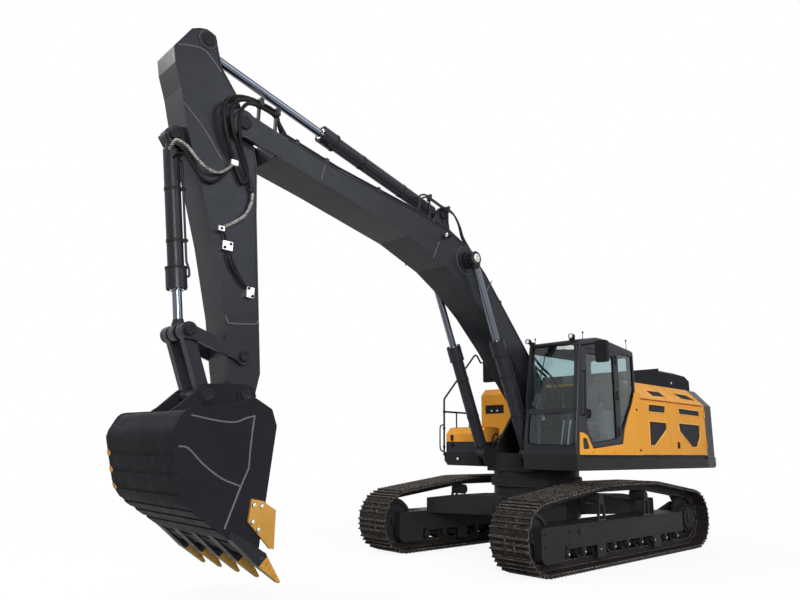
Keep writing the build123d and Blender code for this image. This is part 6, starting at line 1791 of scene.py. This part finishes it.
@dataclass
class BucketDress(Assembly):
    """Wear plates, corner tabs, weld seams, tooth pins and side cutter bolts of the bucket."""

    half: float = 0.8
    lip: Flat = (5.905, 0.5)
    heel: Flat = (6.725, 1.053)
    heel_radius: float = 0.48
    back: Flat = (6.880, 1.680)
    back_radius: float = 0.15
    top: Flat = (6.760, 1.890)
    strip_proud: float = 0.009
    tooth_pitch: float = 0.385
    samples: int = 240

    def wrapper(self) -> list[tuple[Vector, Vector]]:
        """Points along the wrapper's outer face from the lip to the top, with the way out at each.

        Returns:
            Flat places and flat outward directions, evenly spaced.
        """
        corners = [Vector(self.lip), Vector(self.heel), Vector(self.back), Vector(self.top)]
        radii = (0.0, self.heel_radius, self.back_radius, 0.0)
        path = [corners[0]]
        for index in (1, 2):
            before, corner, after = corners[index - 1], corners[index], corners[index + 1]
            ways = ((before - corner).normalized(), (after - corner).normalized())
            half = 0.5 * ways[0].angle(ways[1])
            reach = radii[index] / math.tan(half)
            centre = corner + (ways[0] + ways[1]).normalized() * (radii[index] / math.sin(half))
            first, last = corner + ways[0] * reach - centre, corner + ways[1] * reach - centre
            sweep = first.angle_signed(last)
            for step in range(13):
                turn = -sweep * step / 12
                path.append(centre + Vector((first.x * math.cos(turn) - first.y * math.sin(turn),
                                             first.x * math.sin(turn) + first.y * math.cos(turn))))
        path.append(corners[3])
        lengths = [0.0]
        for first, last in zip(path, path[1:]):
            lengths.append(lengths[-1] + (last - first).length)
        places = []
        for index in range(self.samples + 1):
            run = lengths[-1] * index / self.samples
            piece = next(i for i in range(len(path) - 1) if run <= lengths[i + 1] + 1e-9)
            share = (run - lengths[piece]) / (lengths[piece + 1] - lengths[piece])
            ahead = (path[piece + 1] - path[piece]).normalized()
            places.append((path[piece].lerp(path[piece + 1], share), Vector((ahead.y, -ahead.x))))
        return places

    def strips(self) -> None:
        """Wear plates laid across the wrapper with narrow joints between them."""
        places = self.wrapper()
        spans = ((0.06, 0.17), (0.20, 0.29), (0.315, 0.385), (0.41, 0.47), (0.495, 0.555), (0.58, 0.655),
                 (0.675, 0.755), (0.775, 0.865))
        plates = Shaper()
        reach = self.half - 0.004
        for low, high in spans:
            stretch = places[int(low * self.samples):int(high * self.samples) + 1:3]
            section = [place - out * 0.004 for place, out in stretch]
            section += [place + out * self.strip_proud for place, out in stretch[::-1]]
            plates.loops([[at(p.x, y, p.y) for p in section] for y in (-reach, reach)])
        plates.place("wear_plates", self.finishes.worn, "bucket", 30.0)
        tabs = Shaper()
        for share in (0.668, 0.765, 0.568):
            place, out = places[int(share * self.samples)]
            ahead = Vector((-out.y, out.x))
            ring = [place - ahead * 0.03 - out * 0.03, place + ahead * 0.03 - out * 0.03,
                    place + ahead * 0.03 + out * 0.012, place - ahead * 0.03 + out * 0.012]
            tabs.loops([[at(p.x, y - self.half, p.y) for p in ring] for y in (-0.008, 0.05)])
        tabs.place("corner_tabs", self.finishes.amber, "bucket")

    def seams(self) -> None:
        """Weld beads of the side plates."""
        shaper = Shaper()
        for side in Side:
            y = side.value * (self.half + 0.001)
            for outline in (((6.800, 1.556), (6.70, 1.535), (6.55, 1.400), (6.35, 1.265), (6.140, 1.186)),
                            ((6.060, 1.355), (6.14, 1.17), (6.281, 0.803)),
                            ((6.030, 1.860), (6.045, 1.700), (6.055, 1.540), (6.060, 1.355)),
                            ((6.700, 1.840), (6.45, 1.80), (6.25, 1.79), (6.13, 1.83), (6.03, 1.86))):
                shaper.tube(smooth(tuple((x, y, z) for x, z in outline)), 0.010, 8)
        shaper.tube([at(6.02, -self.half + 0.01, 0.572), at(6.02, self.half - 0.01, 0.572)], 0.006, 8)
        shaper.place("bucket_welds", self.finishes.weld, "bucket")

    def fasteners(self) -> None:
        """Bright bolts of the side cutters and the pins of the teeth."""
        bolts = Shaper()
        for side in Side:
            out = side.out
            for station, height in ((5.994, 1.010), (5.908, 0.995), (6.000, 0.855), (5.935, 0.780)):
                bolts.turned(at(station, side.value * (self.half + 0.0283), height), out,
                             ((-0.002, 0.024), (0.010, 0.024), (0.020, 0.018), (0.024, 0.008)), 18)
        bolts.place("side_cutter_bolts", self.finishes.zinc, "bucket")
        pins = Shaper()
        for index in range(5):
            y = (index - 2) * self.tooth_pitch
            for side in Side:
                pins.turned(at(5.868, y + side.value * 0.0595, 0.507), side.out,
                            ((-0.002, 0.017), (0.004, 0.017), (0.007, 0.011)), 16)
        pins.place("tooth_pins", self.finishes.forged, "bucket")

    def build(self) -> None:
        """Builds the bucket's dressing."""
        self.strips()
        self.seams()
        self.fasteners()


@dataclass
class FootHoses(Assembly):
    """Hoses between the deck, the boom's foot and the boom cylinders."""

    def build(self) -> None:
        """Builds the hoses round the boom's foot."""
        for index, y in enumerate((-0.22, -0.13, 0.13, 0.22)):
            hose = Shaper()
            hose.tube(smooth(((-0.62, y, 1.58), (-0.60, y, 1.80), (-0.50, y, 2.15), (-0.32, y, 2.50),
                              (0.0, y * 1.1, 2.78), (0.32, y * 1.2, 2.92), (0.62, y * 1.2, 3.14))), 0.020, 12)
            piece = hose.place(f"foot_hose_{index}", self.finishes.rubber, None, 60.0)
            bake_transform(piece)
        for side in Side:
            fittings = Shaper()
            lines = Shaper()
            for step, height in enumerate((1.64, 1.72, 1.80)):
                y = side.value * (0.357 + 0.01 * step)
                fittings.turned(at(0.52 + 0.07 * step, side.value * 0.354, height), side.out, (
                    (0.0, 0.020), (0.014, 0.020), (0.016, 0.015), (0.034, 0.015)), 14)
                lines.tube(smooth((
                    (0.52 + 0.07 * step, side.value * 0.38, height),
                    (0.60 + 0.07 * step, side.value * 0.395, height + 0.02),
                    (0.74 + 0.04 * step, side.value * 0.385, height - 0.06),
                    (0.80 + 0.02 * step, side.value * 0.37, 1.60),
                    (0.84, side.value * 0.37, 1.50))), 0.014, 10)
            fittings.place("foot_fittings_" + side.word, self.finishes.zinc, "upperstructure")
            lines.place("foot_lines_" + side.word, self.finishes.rubber, "upperstructure")


CYLINDERS = (
    ("boom_cylinder_left", (1.0, 1.5), (2.22, 4.36), 0.44, 0.095, 0.115, 1.82, 0.055, 1.0, 0.6,
     (0.055, 0.105)),
    ("boom_cylinder_right", (1.0, 1.5), (2.22, 4.36), -0.44, 0.095, 0.115, 1.82, 0.055, 1.0, -0.6,
     (0.055, 0.105)),
    ("arm_cylinder", (2.55, 5.05), (6.58, 6.10), 0.0, 0.098, 0.120, 2.33, 0.055, -1.0, 0.5, (0.07, 0.105)),
    ("bucket_cylinder", (6.82, 4.88), (6.53, 2.73), 0.0, 0.087, 0.112, 1.70, 0.051, -1.0, 0.6,
     (0.065, 0.095)),
)


# Studio


@dataclass(frozen=True)
class PhotoCamera:
    """Camera at the photograph's viewing angle."""

    station: float = 9.54434
    y: float = 6.64970
    height: float = 1.56554
    yaw: float = 226.8744
    pitch: float = 12.6623
    roll: float = 0.78904
    focal_share: float = 659.5046 / 800.0
    sensor: float = 36.0

    def build(self) -> bpy.types.Object:
        """Makes the camera and sets it as the scene's.

        Returns:
            The camera object.
        """
        yaw, pitch, roll = (math.radians(angle) for angle in (self.yaw, self.pitch, self.roll))
        forward = Vector((math.cos(yaw) * math.cos(pitch), math.sin(yaw) * math.cos(pitch), math.sin(pitch)))
        level = Vector((math.sin(yaw), -math.cos(yaw), 0.0))
        up = level.cross(forward)
        right = level * math.cos(roll) + up * math.sin(roll)
        upright = up * math.cos(roll) - level * math.sin(roll)
        lens = bpy.data.cameras.new("photo_camera")
        lens.sensor_width = self.sensor
        lens.lens = self.focal_share * self.sensor
        lens.clip_end = 500.0
        camera = bpy.data.objects.new("photo_camera", lens)
        turn = Matrix((right, upright, -forward)).transposed().to_4x4()
        camera.matrix_world = Matrix.Translation(at(self.station, self.y, self.height)) @ turn
        bpy.context.scene.collection.objects.link(camera)
        bpy.context.scene.camera = camera
        return camera


def shown_rays(tree: bpy.types.NodeTree) -> bpy.types.NodeSocket:
    """Marks the rays that see the white background: from the camera, through glass and off gloss.

    Args:
        tree: Node tree that takes the nodes.

    Returns:
        The socket, 1 for such a ray and 0 for any other.
    """
    path = tree.nodes.new("ShaderNodeLightPath")
    shown = path.outputs["Is Camera Ray"]
    for name in ("Is Transmission Ray", "Is Glossy Ray"):
        larger = tree.nodes.new("ShaderNodeMath")
        larger.operation = "MAXIMUM"
        tree.links.new(shown, larger.inputs[0])
        tree.links.new(path.outputs[name], larger.inputs[1])
        shown = larger.outputs[0]
    return shown


@dataclass
class Studio:
    """Pale floor, soft sky and three large soft lamps."""

    floor_half: float = 160.0
    floor_colour: Colour = (0.93, 0.93, 0.93)
    floor_bounce: Colour = (0.10, 0.10, 0.11)
    floor_near: float = 3.0
    floor_far: float = 8.0
    floor_white: float = 0.9
    sky: float = 0.42
    horizon: float = 0.05
    sky_colour: Colour = (0.90, 0.94, 1.0)
    lamps: dict[str, tuple[Point, Point, float, float, Colour]] = field(default_factory=lambda: {
        "sky_panel": ((-4.0, 14.0, 11.0), (0.0, 0.0, 3.5), 9.0, 760.0, (0.82, 0.90, 1.0)),
        "front_lamp": ((9.0, 13.0, 5.0), (-2.5, 1.0, 2.0), 6.0, 2200.0, (1.0, 0.96, 0.92)),
        "high_lamp": ((8.5, -3.5, 10.0), (-1.0, -0.8, 2.0), 5.0, 900.0, (1.0, 0.98, 0.95)),
    })

    def white(self) -> bpy.types.World:
        """World that lights softly and shows white behind the machine and through its glass.

        Returns:
            The world.
        """
        world = bpy.data.worlds.new("studio_world")
        world.use_nodes = True
        tree = world.node_tree
        background = tree.nodes["Background"]
        shown = shown_rays(tree)
        strength = tree.nodes.new("ShaderNodeMapRange")
        where = tree.nodes.new("ShaderNodeTexCoord")
        split = tree.nodes.new("ShaderNodeSeparateXYZ")
        tree.links.new(where.outputs["Generated"], split.inputs[0])
        rise = tree.nodes.new("ShaderNodeMapRange")
        for socket, value in (
                ("From Min", 0.04), ("From Max", 0.5), ("To Min", self.horizon), ("To Max", self.sky)):
            rise.inputs[socket].default_value = value
        tree.links.new(split.outputs["Z"], rise.inputs["Value"])
        tree.links.new(rise.outputs["Result"], strength.inputs["To Min"])
        strength.inputs["To Max"].default_value = 1.0
        tree.links.new(shown, strength.inputs["Value"])
        tint = tree.nodes.new("ShaderNodeMix")
        tint.data_type = "RGBA"
        tint.inputs[6].default_value = (*self.sky_colour, 1.0)
        tint.inputs[7].default_value = (1.0, 1.0, 1.0, 1.0)
        tree.links.new(shown, tint.inputs["Factor"])
        tree.links.new(tint.outputs[2], background.inputs["Color"])
        tree.links.new(strength.outputs["Result"], background.inputs["Strength"])
        return world

    def floor(self) -> bpy.types.Object:
        """Plain pale floor that keeps the machine's shadow and runs out to the white behind it.

        Returns:
            The floor.
        """
        nodes = Nodes("studio_floor")
        nodes.set(Roughness=0.9)
        shown = shown_rays(nodes.tree)
        colour = nodes.blend(shown, self.floor_bounce, self.floor_colour)
        nodes.feed("Base Color", colour)
        where = nodes.add("NewGeometry")
        reach = nodes.add("VectorMath", operation="LENGTH")
        nodes.link(where.outputs["Position"], reach.inputs[0])
        far = nodes.ramp(reach.outputs["Value"], self.floor_near, self.floor_far, self.floor_white)
        white = nodes.add("Emission")
        mix = nodes.add("MixShader")
        nodes.link(nodes.times(far, shown), mix.inputs[0])
        nodes.link(nodes.shader.outputs[0], mix.inputs[1])
        nodes.link(white.outputs[0], mix.inputs[2])
        nodes.link(mix.outputs[0], nodes.tree.nodes["Material Output"].inputs["Surface"])
        half = self.floor_half
        data = bpy.data.meshes.new("studio_floor")
        data.from_pydata(
            [(-half, -half, 0), (half, -half, 0), (half, half, 0), (-half, half, 0)], [], [(0, 1, 2, 3)])
        data.materials.append(nodes.material)
        floor = bpy.data.objects.new("studio_floor", data)
        bpy.context.scene.collection.objects.link(floor)
        return floor

    def lamp(self, name: str, place: Point, target: Point, size: float, power: float, colour: Colour) -> None:
        """One soft area lamp.

        Args:
            name: Name of the lamp.
            place: Its place.
            target: Point that it faces.
            size: Width of its face.
            power: Power in watts.
            colour: Colour of its light.
        """
        data = bpy.data.lights.new(name, "AREA")
        data.energy = power
        data.size = size
        data.color = colour
        lamp = bpy.data.objects.new(name, data)
        lamp.location = place
        lamp.rotation_euler = (Vector(target) - Vector(place)).to_track_quat("-Z", "Y").to_euler()
        bpy.context.scene.collection.objects.link(lamp)

    def build(self) -> None:
        """Builds the whole studio."""
        scene = bpy.context.scene
        scene.view_settings.view_transform = "Standard"
        scene.world = self.white()
        self.floor()
        for name, (place, target, size, power, colour) in self.lamps.items():
            self.lamp(name, place, target, size, power, colour)


def paint_frame(finishes: Finishes) -> None:
    """Gives every CAD node its finish.

    Args:
        finishes: The machine's finishes.
    """
    amber = ("house_panels", "side_fairing", "fuel_tank", "toolbox_lid", "left_front_door", "left_rear_door",
             "right_door")
    chassis = ("car_body", "slew_ring", "track_frame_left", "track_frame_right", "idlers", "drive_sprockets",
               "final_drives", "travel_motors", "track_rollers", "carrier_rollers", "revolving_frame")
    by_name = {name: finishes.amber for name in amber}
    by_name |= {name: finishes.chassis for name in chassis}
    by_name |= {name: finishes.shoe for name in ("track_left", "track_right")}
    by_name |= {name: finishes.worn for name in ("bucket", "engine_hood")}
    by_name |= {"bucket_teeth": finishes.tooth, "side_cutters": finishes.bronze}
    by_name |= {name: finishes.glass for name in ("cab_glass", "cab_door_glass")}
    by_name |= {"operator_seat": finishes.cloth, "control_consoles": finishes.grey_plastic,
                "handrails": finishes.plastic, "mirrors": finishes.plastic, "work_lamps": finishes.plastic,
                "boom_lamp": finishes.plastic, "engine_block": finishes.forged}
    for name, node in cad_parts.items():
        if name.endswith("_grilles"):
            finish = finishes.mesh
        elif name.endswith("_rod"):
            finish = finishes.chrome
        else:
            finish = by_name.get(name, finishes.charcoal)
        node.data.materials.clear()
        node.data.materials.append(finish)


def main() -> None:
    """Builds the studio and every sub-assembly in order."""
    logging.basicConfig(level=logging.INFO, format="%(message)s")
    PhotoCamera().build()
    Studio().build()
    finishes = Finishes()
    paint_frame(finishes)
    for kind in (Tracks, Deck, House, Cab, BoomDress, ArmDress, BucketDress, FootHoses, Pins):
        LOG.info("%s", kind.__name__)
        kind(finishes).build()
    for measures in CYLINDERS:
        Cylinder(finishes, *measures).build()


if __name__ == "__main__":
    main()
